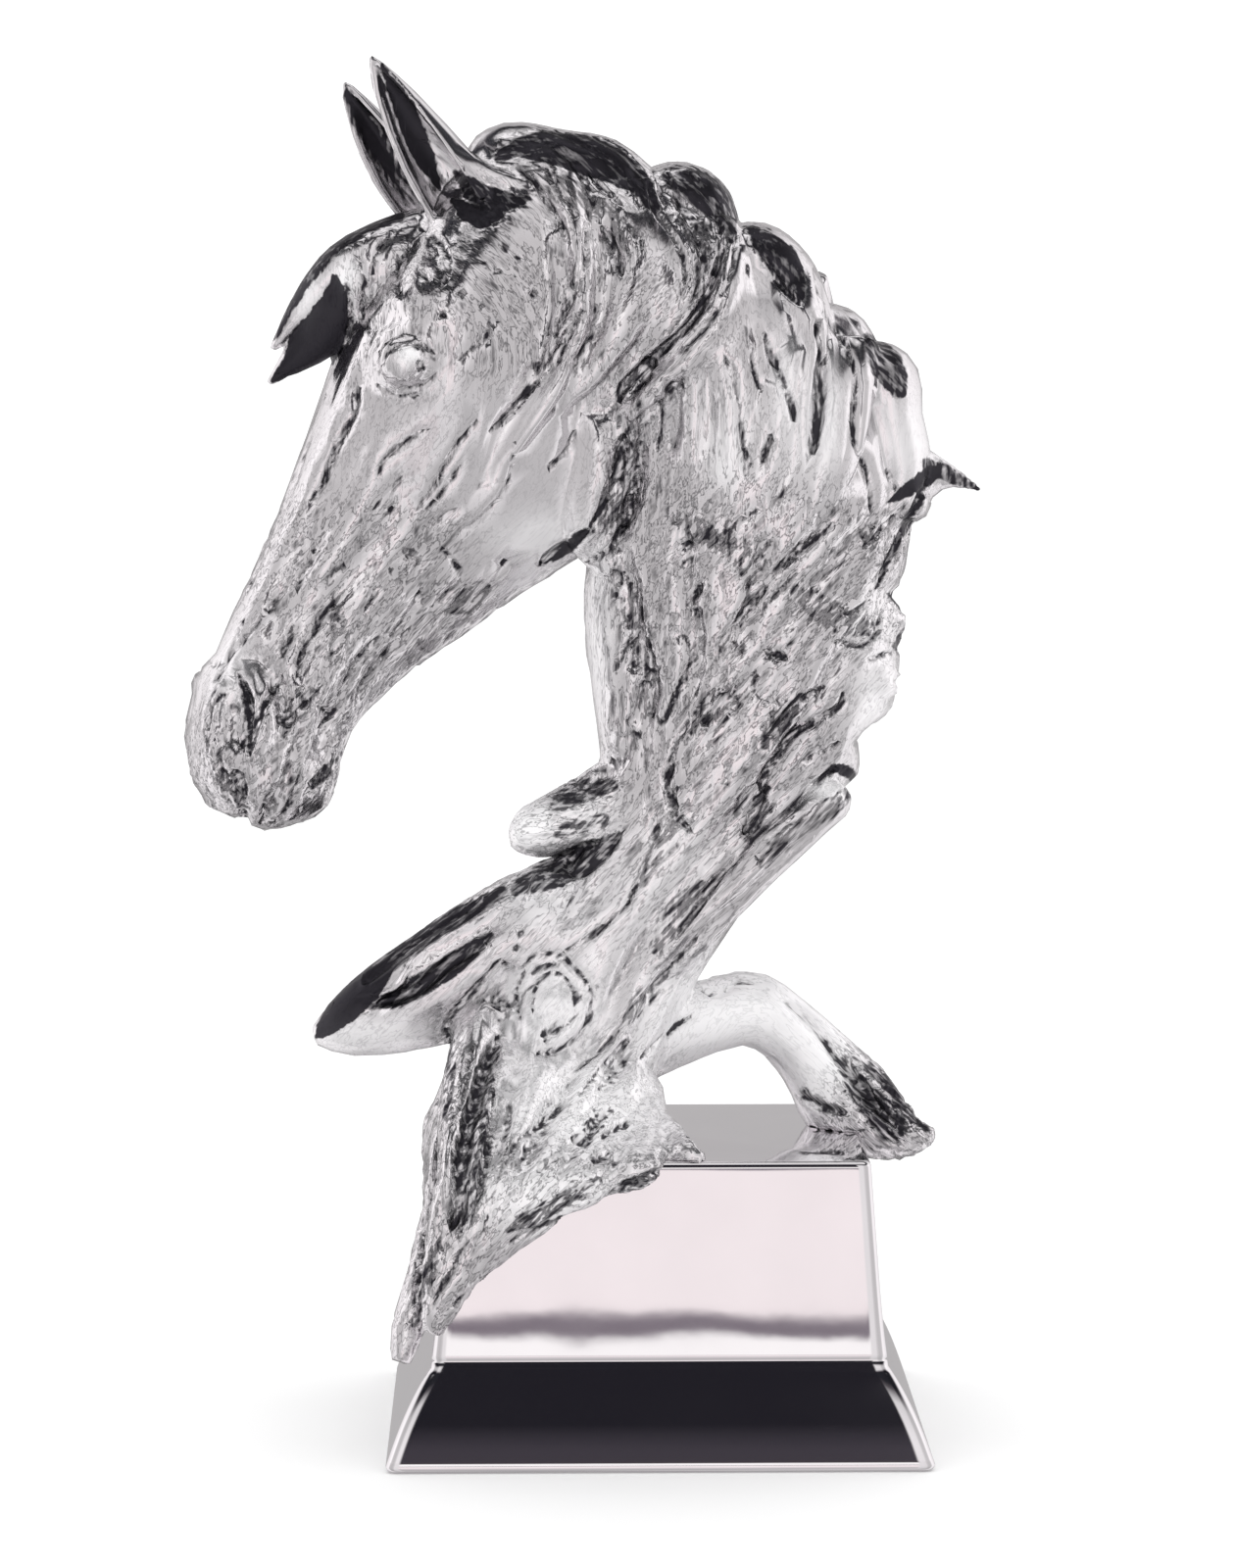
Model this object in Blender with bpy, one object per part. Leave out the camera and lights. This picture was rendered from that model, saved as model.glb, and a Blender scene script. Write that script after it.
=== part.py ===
"""Horse head rising out of driftwood, cast in resin, standing on a flared plinth.

Metres, +Z up. The origin is the centre of the plinth's underside, +X runs along the
plinth's front edge and the front faces -Y. The casting is laid out in its own upright
plane, in parts of its own height: u runs to the right, v up from the plinth's top and
w towards the viewer. That plane is turned a few degrees on the plinth.
"""
import math

import bmesh
import bpy
import numpy as np
from mathutils import Vector

# Driving dimensions of the figure
FIGURE_HEIGHT = 0.274
FIGURE_TURN = math.radians(-1.0)
FIGURE_SHIFT = -0.0017
HEAD_TURN = math.radians(18.0)

# Driving dimensions of the plinth
FOOT_WIDTH = 0.1360
FOOT_DEPTH = 0.1170
FOOT_HEIGHT = 0.0259
FOOT_EDGE = 0.0016
BLOCK_WIDTH = 0.1140
BLOCK_DEPTH = 0.0965
BLOCK_HEIGHT = 0.0494
BLOCK_BATTER = 0.0042
BLOCK_EDGE = 0.0016
CORNER_RADIUS = 0.0022
SEAT_GAP = 0.0003

# How finely the casting is carved, and how many faces are kept
CARVING_STEP = 0.0011
KEPT_TRIANGLES = 8800

PARTS_HIGH = 274.0
PART = FIGURE_HEIGHT / PARTS_HIGH
PLINTH_TOP = FOOT_HEIGHT + BLOCK_HEIGHT

RIGHT = np.array((math.cos(FIGURE_TURN), math.sin(FIGURE_TURN), 0.0))
UP = np.array((0.0, 0.0, 1.0))
NEAR = np.array((math.sin(FIGURE_TURN), -math.cos(FIGURE_TURN), 0.0))
SEAT = np.array((FIGURE_SHIFT, 0.0, PLINTH_TOP))

# The head's own axes, in the figure's (u, v, w): along the face, out of the brow, and sideways
POLL = np.array((-35.0, 251.0, 0.0))
HEAD_PITCH = math.radians(65.75)
FACING = np.array((-math.cos(HEAD_TURN), 0.0, math.sin(HEAD_TURN)))
LIFT = np.array((0.0, 1.0, 0.0))
ALONG = math.cos(HEAD_PITCH) * FACING - math.sin(HEAD_PITCH) * LIFT
BROW = math.sin(HEAD_PITCH) * FACING + math.cos(HEAD_PITCH) * LIFT
SIDE = np.array((math.sin(HEAD_TURN), 0.0, math.cos(HEAD_TURN)))

# Stations of the head: place along the face, then the height of the bridge and its half-width,
# the height and half-width of the widest level, of the lower level, and the height of the jaw
HEAD_STATIONS = (
    (-12, -4, 5, -12, 10, -20, 9, -24),
    (0, 5, 9, -8, 17, -22, 15, -31),
    (14, 11, 12, -5, 21, -24, 18, -35),
    (30, 15, 15, 0, 25, -28, 20, -42),
    (46, 18.5, 16, 3, 28, -34, 22, -51),
    (60, 19.5, 14, 3, 27.5, -38, 23, -60),
    (70, 19.5, 12.5, 0, 25, -38, 23, -63),
    (82, 19, 11, -3, 22, -37, 22, -62.5),
    (94, 18.5, 10, -4, 19.5, -33.5, 18.5, -55.5),
    (106, 18, 9.5, -5, 17.5, -29, 15, -47.5),
    (119, 18, 9, -5, 16, -24, 13, -40),
    (132, 18.5, 8.5, -4, 15.2, -19, 12, -31.5),
    (146, 18.5, 8.5, -2, 15.8, -13.5, 12, -23.5),
    (157, 18.5, 9, 2, 17.4, -10, 13.5, -21),
    (164, 17.5, 9.5, 2, 17.8, -11, 13.8, -22.5),
    (171, 15.3, 9.5, 1, 16.8, -11, 13.5, -22.5),
    (177.5, 11, 8.8, -1, 14, -10, 11, -18),
    (182.5, 4.5, 6, -4, 9, -8, 7, -11),
)


def figure(points):
    """Points given as (u, v, w) parts of the figure, in metres in the model's frame."""
    p = np.atleast_2d(np.asarray(points, float)) * PART
    return SEAT + p[:, :1] * RIGHT + p[:, 1:2] * UP + p[:, 2:3] * NEAR


def head(points):
    """Points given in the head's own (along, brow, side) parts, as (u, v, w)."""
    p = np.atleast_2d(np.asarray(points, float))
    return POLL + p[:, :1] * ALONG + p[:, 1:2] * BROW + p[:, 2:3] * SIDE


def flowing(stations, steps):
    """A smooth curve through rows of numbers, with this many steps between two rows."""
    p = np.asarray(stations, float)
    p = np.vstack((2 * p[0] - p[1], p, 2 * p[-1] - p[-2]))
    t = np.linspace(0, 1, steps, endpoint=False)[:, None]
    rows = []
    for a, b, c, d in zip(p, p[1:], p[2:], p[3:]):
        rows.append(b + 0.5 * t * (c - a + t * (2 * a - 5 * b + 4 * c - d + t * (3 * (b - c) + d - a))))
    return np.vstack(rows + [p[-2:-1]])


def sweep(bm, rings):
    """Draws a first ring as a capped circle and extrudes its cap from ring to ring."""
    count = len(rings[0])
    face = bmesh.ops.create_circle(bm, cap_ends=True, segments=count, radius=1.0)["verts"][0].link_faces[0]
    corners = list(face.verts)
    for vert, place in zip(corners, rings[0]):
        vert.co = Vector(place)
    for number, ring in enumerate(rings[1:]):
        lid = face
        made = bmesh.ops.extrude_face_region(bm, geom=[lid])["geom"]
        face = next(item for item in made if isinstance(item, bmesh.types.BMFace))
        if number:
            bmesh.ops.delete(bm, geom=[lid], context="FACES_ONLY")
        risen = {}
        for vert in face.verts:
            below = next(e.other_vert(vert) for e in vert.link_edges if e.other_vert(vert) not in face.verts)
            risen[below] = vert
        corners = [risen[vert] for vert in corners]
        for vert, place in zip(corners, ring):
            vert.co = Vector(place)


def limb(bm, stations, sides=14, steps=4):
    """A tapering limb through (u, v, w, half-thickness in the plane, half-thickness across it)."""
    rows = flowing(stations, steps)
    centre, across, deep = rows[:, :3], np.maximum(rows[:, 3:4], 0.3), np.maximum(rows[:, 4:5], 0.3)
    forward = np.gradient(centre, axis=0)
    forward /= np.linalg.norm(forward, axis=1, keepdims=True)
    level = np.cross(forward, (0.0, 0.0, 1.0))
    level /= np.maximum(np.linalg.norm(level, axis=1, keepdims=True), 1e-6)
    out = np.cross(level, forward)
    turn = np.linspace(0, 2 * math.pi, sides, endpoint=False)
    rings = [figure(c + a * np.outer(np.cos(turn), n) + b * np.outer(np.sin(turn), o))
             for c, a, b, n, o in zip(centre, across, deep, level, out)]
    sweep(bm, rings)


def head_form(bm, sides=9):
    """The skull and muzzle, from the stations above; the head is alike on both sides."""
    rings = []
    for along, top, bridge, wide_at, wide, low_at, low, jaw in flowing(HEAD_STATIONS, 4):
        shoulder = top - 0.16 * (top - wide_at)
        half = flowing(((0, top), (bridge, shoulder), (wide, wide_at), (low, low_at), (0.45 * low, jaw + 1.0),
                        (0, jaw)), sides // 3)
        near = [(along, level, side) for side, level in half]
        far = [(along, level, -side) for side, level in half[-2:0:-1]]
        rings.append(figure(head(near + far)))
    sweep(bm, rings)


def ear(bm, base, tip, bow, opening, width, wall=2.0, sides=8, steps=14):
    """A leaf-shaped ear, hollow on its opening side, from its root to its point."""
    base, tip, bow = (np.asarray(p, float) for p in (base, tip, bow))
    axis = (tip - base) / np.linalg.norm(tip - base)
    back = -np.asarray(opening, float)
    back -= axis * (back @ axis)
    back /= np.linalg.norm(back)
    across = np.cross(axis, back)
    rings = []
    for t in np.linspace(0, 1, steps):
        centre = base + (tip - base) * t + bow * math.sin(math.pi * t)
        radius = width * (1 - t) ** 0.82 * (1 + 0.55 * t) + 0.7
        gape = math.radians(112 + 26 * (1 - t) ** 2)
        turn = np.linspace(-gape, gape, sides)
        inner = max(radius - wall, 0.3 * radius)
        outline = [(radius, a) for a in turn] + [(inner, a) for a in turn[::-1] * 0.97]
        rings.append(figure([centre + r * (math.cos(a) * back + 0.86 * math.sin(a) * across) for r, a in outline]))
    sweep(bm, rings)


# The casting's main masses: rows of (u, v, w, half-thickness in the plane, half-thickness across it)
NECK = (
    (-33, 240, 0, 9, 12), (-22, 234, 0, 15, 17), (-8, 225, 0, 21, 19), (12, 206, 0, 27, 21), (25, 184, 0, 35, 22),
    (28, 161, 0, 39, 23), (23.5, 142, 0, 40, 23), (24, 127, 0, 40.5, 23), (23.5, 112, 0, 38, 22.5),
    (17.5, 97, 0, 30, 22), (10, 82, 0, 26, 21), (1, 66, 1, 24, 20), (-9, 50, 2, 24, 19), (-17.5, 34, 3, 24.5, 20),
    (-24, 18, 3, 26, 23), (-27.5, 5, 2, 25.5, 28), (-29, -5, 2, 24, 31),
)
MANE_LUMPS = (
    ((-46, 246, 0, 3, 8), (-40, 248.5, 0, 7.6, 10), (-33, 249.5, 1, 9, 11), (-24, 248, 1, 9.4, 12),
     (-12, 246, 0, 8.6, 12), (-3, 241, 0, 7, 12), (4, 235, 0, 3, 11)),
    ((-6, 238, -2, 3, 10), (4, 239, -2, 8.8, 12), (12.5, 237, -2, 9.2, 13), (19, 230, -2, 7, 13), (25, 221, 0, 2, 11)),
    ((16, 224, 2, 3, 11), (27, 224, 3, 9.0, 13), (35.5, 220, 3, 8.6, 13), (41, 212, 2, 7, 13), (46, 204, 0, 2, 11)),
    ((38, 208, -2, 3, 11), (47.5, 205, -3, 7.8, 13), (54, 200, -3, 7.4, 13), (59, 192, -1, 3, 11)),
    ((49, 197, 1, 4, 12), (58, 191.5, 2, 9.6, 13), (61.8, 183, 2, 9, 13), (63.5, 172, 1, 8.4, 13),
     (61, 160, 0, 6.5, 13)),
)
# Locks that fall from the crest down the two sides of the neck, and over the cheek
LOCKS = (
    ((-26, 249, 9, 5, 5), (-22, 238, 15, 6.5, 5), (-19, 222, 20, 6, 5), (-20, 205, 23, 5, 4.5), (-28, 188, 24.5, 4, 3.6),
     (-40, 172, 25, 2.6, 2.4), (-48, 161, 24, 1, 1)),
    ((-4, 241, 9, 6, 5), (-2, 226, 17, 7, 5), (-6, 210, 21, 6, 4.5), (-15, 195, 22, 4, 3.4), (-23, 185, 22, 1.2, 1.2)),
    ((16, 232, 10, 6, 5), (18, 218, 18, 7, 5), (12, 204, 21, 5.6, 4.2), (2, 192, 21.5, 3.4, 3), (-6, 183, 21, 1.2, 1.2)),
    ((36, 218, 10, 6, 5), (38, 205, 17, 6.5, 5), (35, 190, 21, 5.6, 4), (31, 175, 22, 3.6, 3), (26, 162, 22, 1.2, 1.2)),
    ((52, 202, 9, 6, 5), (50, 190, 16, 6.5, 5), (47, 174, 20.5, 5.4, 4), (41, 160, 22, 3.6, 3), (35, 148, 22, 1.2, 1.2)),
)
FORELOCKS = (
    ((-42, 236, 2, 4, 7), (-56, 234.5, 4, 6, 9), (-68, 230.5, 7, 7.4, 9.5), (-78, 222.5, 9, 6.4, 8),
     (-87, 212.5, 11, 4.6, 5.5), (-94.5, 200.5, 12, 0.9, 1.5)),
    ((-56, 229, 6, 6, 8), (-68, 225, 9, 8, 9), (-76, 215, 11, 8.5, 8), (-83, 204, 12.5, 6.5, 5.5),
     (-95.5, 192, 13, 0.8, 1.2)),
)
THORN = ((52, 170, 0, 8, 9), (63, 169.5, 0, 9, 7), (71, 169, 0, 5.8, 4.4), (77.5, 167.8, 0, 2.6, 2.2),
         (85, 164.8, 0, 0.6, 0.7))
RIGHT_ROD = ((-8, 36, 9, 6, 6), (8, 50, 13, 7, 7), (26, 67, 14, 7, 7), (40, 81, 12, 7.2, 7), (46.5, 87.5, 11, 6.4, 6.2),
             (49.5, 90.5, 11, 3, 3))
LEFT_PEG = ((2, 92, 4, 12, 10), (-13, 85, 7, 9.5, 8), (-25, 80.2, 9, 8, 7), (-32, 78.2, 10, 6, 5.4),
            (-35.5, 77.6, 10, 2.5, 2.5))
LEFT_LIMB = ((-8, 57, 4, 20, 16), (-28, 54, 6, 19.5, 15), (-45, 43.5, 7, 18.5, 13), (-57, 38, 8, 15.2, 11.5),
             (-69, 32, 8, 11.4, 9.5), (-79, 28, 8, 7.2, 6.6), (-85.4, 26.3, 8, 2.4, 2.4))
ARCH_ROOT = ((-8, 22, -2, 12, 11), (6, 26.5, -4, 10.5, 10), (17, 29.5, -7, 9.8, 9), (27, 31, -10, 10.4, 9),
             (37, 26.2, -12, 11, 9), (45, 17, -13, 12, 9.5), (51.5, 8, -11, 13.4, 11), (59.5, 1.2, -6, 10, 10),
             (67, -1.2, -2, 6.2, 7), (73.8, -0.6, 0, 1.8, 2.5))
KNOBS = (
    ((48, 134, 2, 9, 11), (59, 131.5, 3, 6.5, 7.5), (65, 131, 3, 2.5, 3)),
    ((45, 119, 6, 9, 9), (57, 117.5, 7, 6.5, 6.5), (63.5, 116, 7, 2.6, 3)),
    ((32, 104, 8, 9, 8), (44, 103, 8, 6, 6), (52, 103.5, 8, 2.4, 2.5)),
    ((-20, 62, 16, 7, 6), (-30, 66, 16, 4, 3.5)),
)
# Strands of root over the plinth's front: the first rows stand free as (u, v, w, ...), and in the
# rows after them w counts outwards from the plinth's front face
ROOTS_OVER_FRONT = (
    (((-27, 30, 11, 17, 9), (-28, 9, 29, 18, 7)),
     ((-33, -4, 0.4, 16, 3.8), (-40, -15, 0.4, 11, 3.2), (-47, -27, 0.4, 6, 2.6), (-52, -36, 0.2, 2, 1.6))),
    (((-40, 32, 14, 9, 9), (-44, 12, 30, 9, 9)),
     ((-45, -4, 2, 8.5, 5.5), (-48, -20, 2, 8, 5), (-51, -32, 1.8, 6, 4.2), (-54, -42, 1, 3, 2.4))),
    (((-30, 30, 14, 10, 9), (-33, 10, 31, 10, 8.5)),
     ((-36, -4, 2, 8.4, 5), (-41, -16, 1.8, 7, 4.4), (-46, -26, 1.4, 5, 3.4), (-50, -34, 1, 2, 2))),
    (((-18, 26, 12, 10, 9), (-22, 8, 31, 9.5, 7)),
     ((-27, -4, 2, 7.4, 4.6), (-33, -12, 1.6, 5.6, 3.8), (-40, -20, 1, 2, 2))),
    (((-8, 18, 12, 9, 8), (-11, 5, 30, 8.5, 6)),
     ((-15, -3.5, 1.8, 6.4, 4.2), (-21, -8.5, 1.2, 4.6, 3.2), (-28, -13, 1, 1.8, 1.8))),
    (((-4, 12, 10, 8, 8), (-2, 3.5, 29, 7.5, 5)),
     ((-2, -0.5, 0.5, 5.6, 3.8), (-7, -4, 1, 3.8, 2.8), (-13, -7.5, 1, 1.6, 1.6))),
    (((-6, 8, 14, 7, 6), (4, 2, 29, 6.5, 4)),
     ((9, 0.5, -4, 5.2, 3), (14, 0, -2, 1.8, 1.8))),
)
# Strands down the plinth's left face, in the same manner: u counts outwards from that face
ROOTS_OVER_LEFT = (
    (((-41, 28, 0, 8, 20), (-45, 10, 0, 6, 24)),
     ((0.2, -3, 2, 3.6, 21), (0.4, -13, 9, 3, 15), (0.4, -25, 17, 2.6, 9), (0.4, -35, 24, 1.6, 3))),
    (((-43, 34, 4, 8, 10), (-46.5, 16, 10, 7, 10)),
     ((0.2, 0, 16, 4.6, 7.5), (0.2, -14, 22, 3.6, 6.5), (1.8, -30, 29, 4.4, 5.5), (4.6, -44, 34, 4.4, 4.6),
      (6, -52, 37, 2.8, 3.2))),
    (((-42, 30, -4, 8, 10), (-46.5, 12, -8, 6.6, 10)),
     ((0.8, -2, -8, 4.4, 7.5), (0.8, -14, -4, 3.4, 6), (0.8, -26, 4, 2.6, 3.6))),
    (((-40, 26, -14, 7, 9), (-46, 8, -24, 6.4, 8)),
     ((1.4, -3, -26, 4.4, 5.6), (1.4, -12, -25, 2.2, 3.4))),
)
ROOTS_OVER_BACK = (
    (((-25, 26, -11, 15, 9), (-27, 7, -29, 16, 7)),
     ((-30, -4, 0.4, 13, 3.6), (-36, -13, 0.3, 8, 2.6), (-42, -20, 0.2, 3, 1.8))),
    (((-34, 28, -14, 9, 9), (-38, 8, -31, 9, 8)),
     ((-41, -4, 1.8, 7, 4.6), (-44, -15, 1.4, 5, 3.6), (-47, -24, 1, 2, 2))),
    (((-20, 24, -12, 9, 9), (-24, 7, -31, 9, 7)),
     ((-27, -4, 1.8, 6.6, 4.4), (-30, -11, 1.2, 3.6, 2.8), (-32, -16, 1, 1.6, 1.6))),
    (((-8, 16, -12, 8, 8), (-10, 4, -29, 8, 6)),
     ((-9, -1.5, 0.4, 5.6, 3.8), (-7, -5, 0.8, 2.2, 2))),
)


def across_block(v):
    """The plinth's half-width and half-depth, in parts, at a height v below the figure's seat."""
    z = min(max(PLINTH_TOP + v * PART, FOOT_HEIGHT), PLINTH_TOP)
    inset = BLOCK_BATTER * (z - FOOT_HEIGHT) / BLOCK_HEIGHT
    return (BLOCK_WIDTH / 2 - inset) / PART, (BLOCK_DEPTH / 2 - inset) / PART


def draped(free, laid, face):
    """Rows of a root that leaves the trunk freely and then lies on one face of the plinth."""
    rows = list(free)
    for u, v, w, inplane, across in laid:
        half_width, half_depth = across_block(v)
        if face == "left":
            u = (-half_width - w * math.sin(FIGURE_TURN)) / math.cos(FIGURE_TURN) - u
        elif face == "front":
            w = (half_depth + u * math.sin(FIGURE_TURN)) / math.cos(FIGURE_TURN) + w
        else:
            w = (-half_depth + u * math.sin(FIGURE_TURN)) / math.cos(FIGURE_TURN) - w
        rows.append((u, v, w, inplane, across))
    return rows


def mane_and_forelock(bm):
    for rows in MANE_LUMPS + FORELOCKS + LOCKS:
        limb(bm, rows)
    for number, rows in enumerate(LOCKS):
        drop = 3.0 * math.sin(2.3 * number)
        limb(bm, [(u + drop + 2, v - 2 + drop, -w, a, b) for u, v, w, a, b in rows])
    ear(bm, (-46, 235, 13), (-69.6, 274.4, 14), (-0.5, -0.5, 0), (-0.6, -0.1, 0.78), 11.5)
    ear(bm, (-55, 232, -13), (-77.8, 268, -13), (-1.5, -1.5, 0), (-0.66, -0.1, 0.72), 10.5)


def driftwood(bm):
    for rows in (NECK, THORN, RIGHT_ROD, LEFT_PEG, LEFT_LIMB, ARCH_ROOT) + KNOBS:
        limb(bm, rows)
    for face, roots in (("front", ROOTS_OVER_FRONT), ("left", ROOTS_OVER_LEFT), ("back", ROOTS_OVER_BACK)):
        for free, laid in roots:
            limb(bm, draped(free, laid, face), sides=10)


def as_object(name, bm):
    bmesh.ops.recalc_face_normals(bm, faces=bm.faces[:])
    mesh = bpy.data.meshes.new(name)
    bm.to_mesh(mesh)
    bm.free()
    obj = bpy.data.objects.new(name, mesh)
    bpy.context.scene.collection.objects.link(obj)
    return obj


def settle(obj):
    """Makes the object's modifiers part of its mesh."""
    graph = bpy.context.evaluated_depsgraph_get()
    finished = bpy.data.meshes.new_from_object(obj.evaluated_get(graph))
    obj.modifiers.clear()
    obj.data = finished


def united(obj, step):
    """Turns the overlapping masses into one skin of even squares."""
    remesh = obj.modifiers.new("one_skin", "REMESH")
    remesh.mode = "VOXEL"
    remesh.voxel_size = step
    remesh.adaptivity = 0.0
    settle(obj)


def corners_of(mesh):
    points = np.empty(len(mesh.vertices) * 3)
    mesh.vertices.foreach_get("co", points)
    return points.reshape(-1, 3)


def place_corners(mesh, points):
    mesh.vertices.foreach_set("co", points.astype(np.float32).ravel())
    mesh.update()


def outward(mesh):
    normals = np.empty(len(mesh.vertices) * 3)
    mesh.vertex_normals.foreach_get("vector", normals)
    return normals.reshape(-1, 3)


def soften(mesh, rounds, keep=0.0):
    """Evens the skin out; keep gives back that share of what each second round took away."""
    ends = np.empty(len(mesh.edges) * 2, np.int64)
    mesh.edges.foreach_get("vertices", ends)
    a, b = ends[0::2], ends[1::2]
    points = corners_of(mesh)
    count = len(points)
    near = np.bincount(a, minlength=count) + np.bincount(b, minlength=count)
    for turn in range(rounds):
        total = np.stack([np.bincount(a, points[b, k], count) + np.bincount(b, points[a, k], count)
                          for k in range(3)], axis=1)
        share = -0.5 * keep if turn % 2 else 0.5
        points = points + share * (total / near[:, None] - points)
    place_corners(mesh, points)


# Strokes of the chisel on the head, in (along, brow): half-width, depth (below nought it stands out), path
HEAD_STROKES = (
    (5.5, 2.4, ((50, 8), (55, 3.5), (63, 2.2), (71, 5.0), (76, 8.5))),
    (4.6, 2.2, ((50, 12), (55, 17.5), (63, 19), (71, 15.5), (77, 10))),
    (4.2, -2.4, ((47, 12.5), (53, 20), (62, 23), (73, 20))),
    (2.4, -1.2, ((52, 10), (57, 15), (63, 16.2), (70, 13))),
    (2.4, -1.0, ((52, 8.5), (57, 5), (63, 4.2), (70, 6.5))),
    (4.0, -1.5, ((80, 5.5), (95, 4), (110, 4.2), (124, 6))),
    (4.5, 1.3, ((84, -3), (98, -4.5), (112, -3), (126, 0))),
    (4.2, 1.1, ((84, 12.5), (100, 11.5), (118, 11.5), (134, 12))),
    (3.6, 5.6, ((155, 12), (161, 10.5), (166, 8.5))),
    (3.0, -1.6, ((150, 9), (154, 5.5), (162, 3.6), (170, 5))),
    (2.8, -1.8, ((151, 13.5), (157, 16.5), (165, 15), (172, 9.5))),
    (2.6, 1.8, ((143, 15), (145, 8), (150, 2), (158, -1), (166, -1.5))),
    (2.3, 2.8, ((190, -8), (184, -8.5), (176, -7.6), (168, -7.2), (158, -6), (150, -4))),
    (3.2, -1.2, ((178, -3.5), (168, -3), (158, -1.5))),
    (3.4, 1.6, ((160, -13), (154, -12), (147, -11))),
    (4.4, 2.6, ((96, -44), (90, -34), (91, -24), (97, -15))),
    (4.0, -1.6, ((52, -42), (62, -54), (74, -57), (86, -52), (92, -42), (88, -30))),
    (4.0, 1.4, ((40, -30), (52, -22), (66, -20), (80, -22), (88, -28))),
    (1.9, 1.0, ((78, 15), (92, 14.5), (106, 14), (120, 14.5))),
    (1.9, 1.0, ((92, 8.2), (106, 8), (122, 8.5), (138, 9))),
    (2.2, 1.2, ((92, -9), (106, -9), (120, -7.5), (136, -7), (146, -4))),
    (2.2, 1.2, ((97, -19), (110, -16), (124, -13), (138, -11))),
    (2.0, 1.1, ((100, -31), (112, -25), (126, -18), (138, -15))),
    (1.9, 1.0, ((122, 1), (132, -1), (140, -1), (148, 2))),
)
# A ring knot and a spiral knot in the wood of the head: (along, brow, radius)
HEAD_KNOTS = ((40, 10, 8.0), (108, -13, 4.2))

# Strokes on the figure in (u, v), in the same manner
FIGURE_STROKES = (
    (4.6, 4.6, ((-17, 187), (-9, 183), (-6.5, 172), (-7.5, 160), (-13, 150), (-23, 144))),
    (3.6, 3.0, ((-26, 244), (-22, 226), (-21, 207), (-27, 190), (-40, 171), (-48, 160))),
    (3.4, -2.2, ((-21, 243), (-17, 225), (-17, 208), (-23, 192), (-36, 174), (-46, 162))),
    (3.4, 2.4, ((-12, 240), (-11, 222), (-13, 206), (-20, 192))),
    (3.2, 2.6, ((17, 224), (13, 212), (6, 201), (-8, 189), (-14, 182))),
    (3.2, -2.0, ((21, 222), (18, 210), (11, 199), (-2, 189))),
    (3.2, 2.4, ((40, 207), (33, 202), (27, 190), (24, 172))),
    (3.2, 2.8, ((34, 212), (39, 200), (36, 186), (35, 170), (31, 160))),
    (3.4, -2.4, ((43, 205), (45, 192), (43, 176), (38, 162))),
    (3.2, 2.8, ((50, 198), (51, 186), (48, 170), (41, 156), (34, 146))),
    (3.2, 2.2, ((5, 196), (6, 184), (4, 174))),
    (3.0, 2.0, ((14, 199), (15, 186), (14, 172))),
    (4.2, 2.2, ((56, 158), (44, 148), (30, 130), (20, 112), (8, 96), (-2, 80), (-14, 64), (-28, 50))),
    (3.4, -1.8, ((52, 160), (38, 142), (24, 122), (12, 102), (0, 84), (-12, 68))),
    (3.6, 1.8, ((62, 138), (48, 124), (38, 106), (26, 88), (12, 72), (0, 56), (-10, 38), (-20, 20), (-32, 2))),
    (3.4, 2.2, ((44, 84), (30, 68), (14, 54), (4, 42), (-4, 26), (-14, 12))),
    (3.2, 2.0, ((2, 58), (-6, 42), (-12, 28), (-24, 12), (-36, -6))),
    (4.2, 4.4, ((-34, 50), (-37, 40), (-39, 28), (-43, 15), (-46, 2), (-48.5, -12), (-51, -26))),
    (3.0, 2.0, ((-36, 34), (-33, 22), (-38, 6), (-44, -12))),
    (3.2, 2.0, ((-34, 60), (-48, 50), (-62, 39), (-76, 31))),
    (3.4, 1.8, ((-30, 46), (-46, 36), (-58, 30))),
    (3.2, 2.0, ((-6, 150), (-4, 132), (0, 116), (-6, 100), (-18, 88))),
    (3.0, 1.8, ((8, 158), (10, 140), (12, 124), (6, 106))),
    (3.0, 1.8, ((30, 156), (26, 140), (22, 124))),
    (2.6, 1.6, ((12, 36), (24, 38), (36, 33), (46, 22), (54, 12), (60, 4))),
)
FIGURE_KNOTS = ((-24, 33, 10.5), (8, 150, 5.5), (-1, 118, 4.5), (30, 112, 4.8))


def off_path(points, path):
    """How far each point of a plane lies from a line of straight pieces, and how far along it that is."""
    path = np.asarray(path, float)
    best = np.full(len(points), np.inf)
    place = np.zeros(len(points))
    for i, (a, b) in enumerate(zip(path, path[1:])):
        along = np.clip((points - a) @ (b - a) / ((b - a) @ (b - a)), 0, 1)
        away = np.hypot(*(points - a - along[:, None] * (b - a)).T)
        nearer = away < best
        best[nearer] = away[nearer]
        place[nearer] = (i + along[nearer]) / (len(path) - 1)
    return best, place


def stroke_depth(points, half_width, depth, path):
    away, place = off_path(points, flowing(path, 5))
    fade = np.clip(np.minimum(place, 1 - place) / 0.12, 0.25, 1)
    return depth * fade * np.clip(1 - (away / half_width) ** 2, 0, 1) ** 1.5


def knot_depth(points, x, y, radius):
    """A knot in the wood: a ring groove round a low boss with a pit in it."""
    away = np.hypot(points[:, 0] - x, 1.15 * (points[:, 1] - y)) / radius
    ring = np.exp(-((away - 0.95) / 0.2) ** 2)
    boss = np.exp(-((away - 0.45) / 0.28) ** 2)
    return min(radius / 8, 1.2) * (1.8 * ring - 1.1 * boss + 0.8 * np.exp(-(away / 0.22) ** 2))


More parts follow.
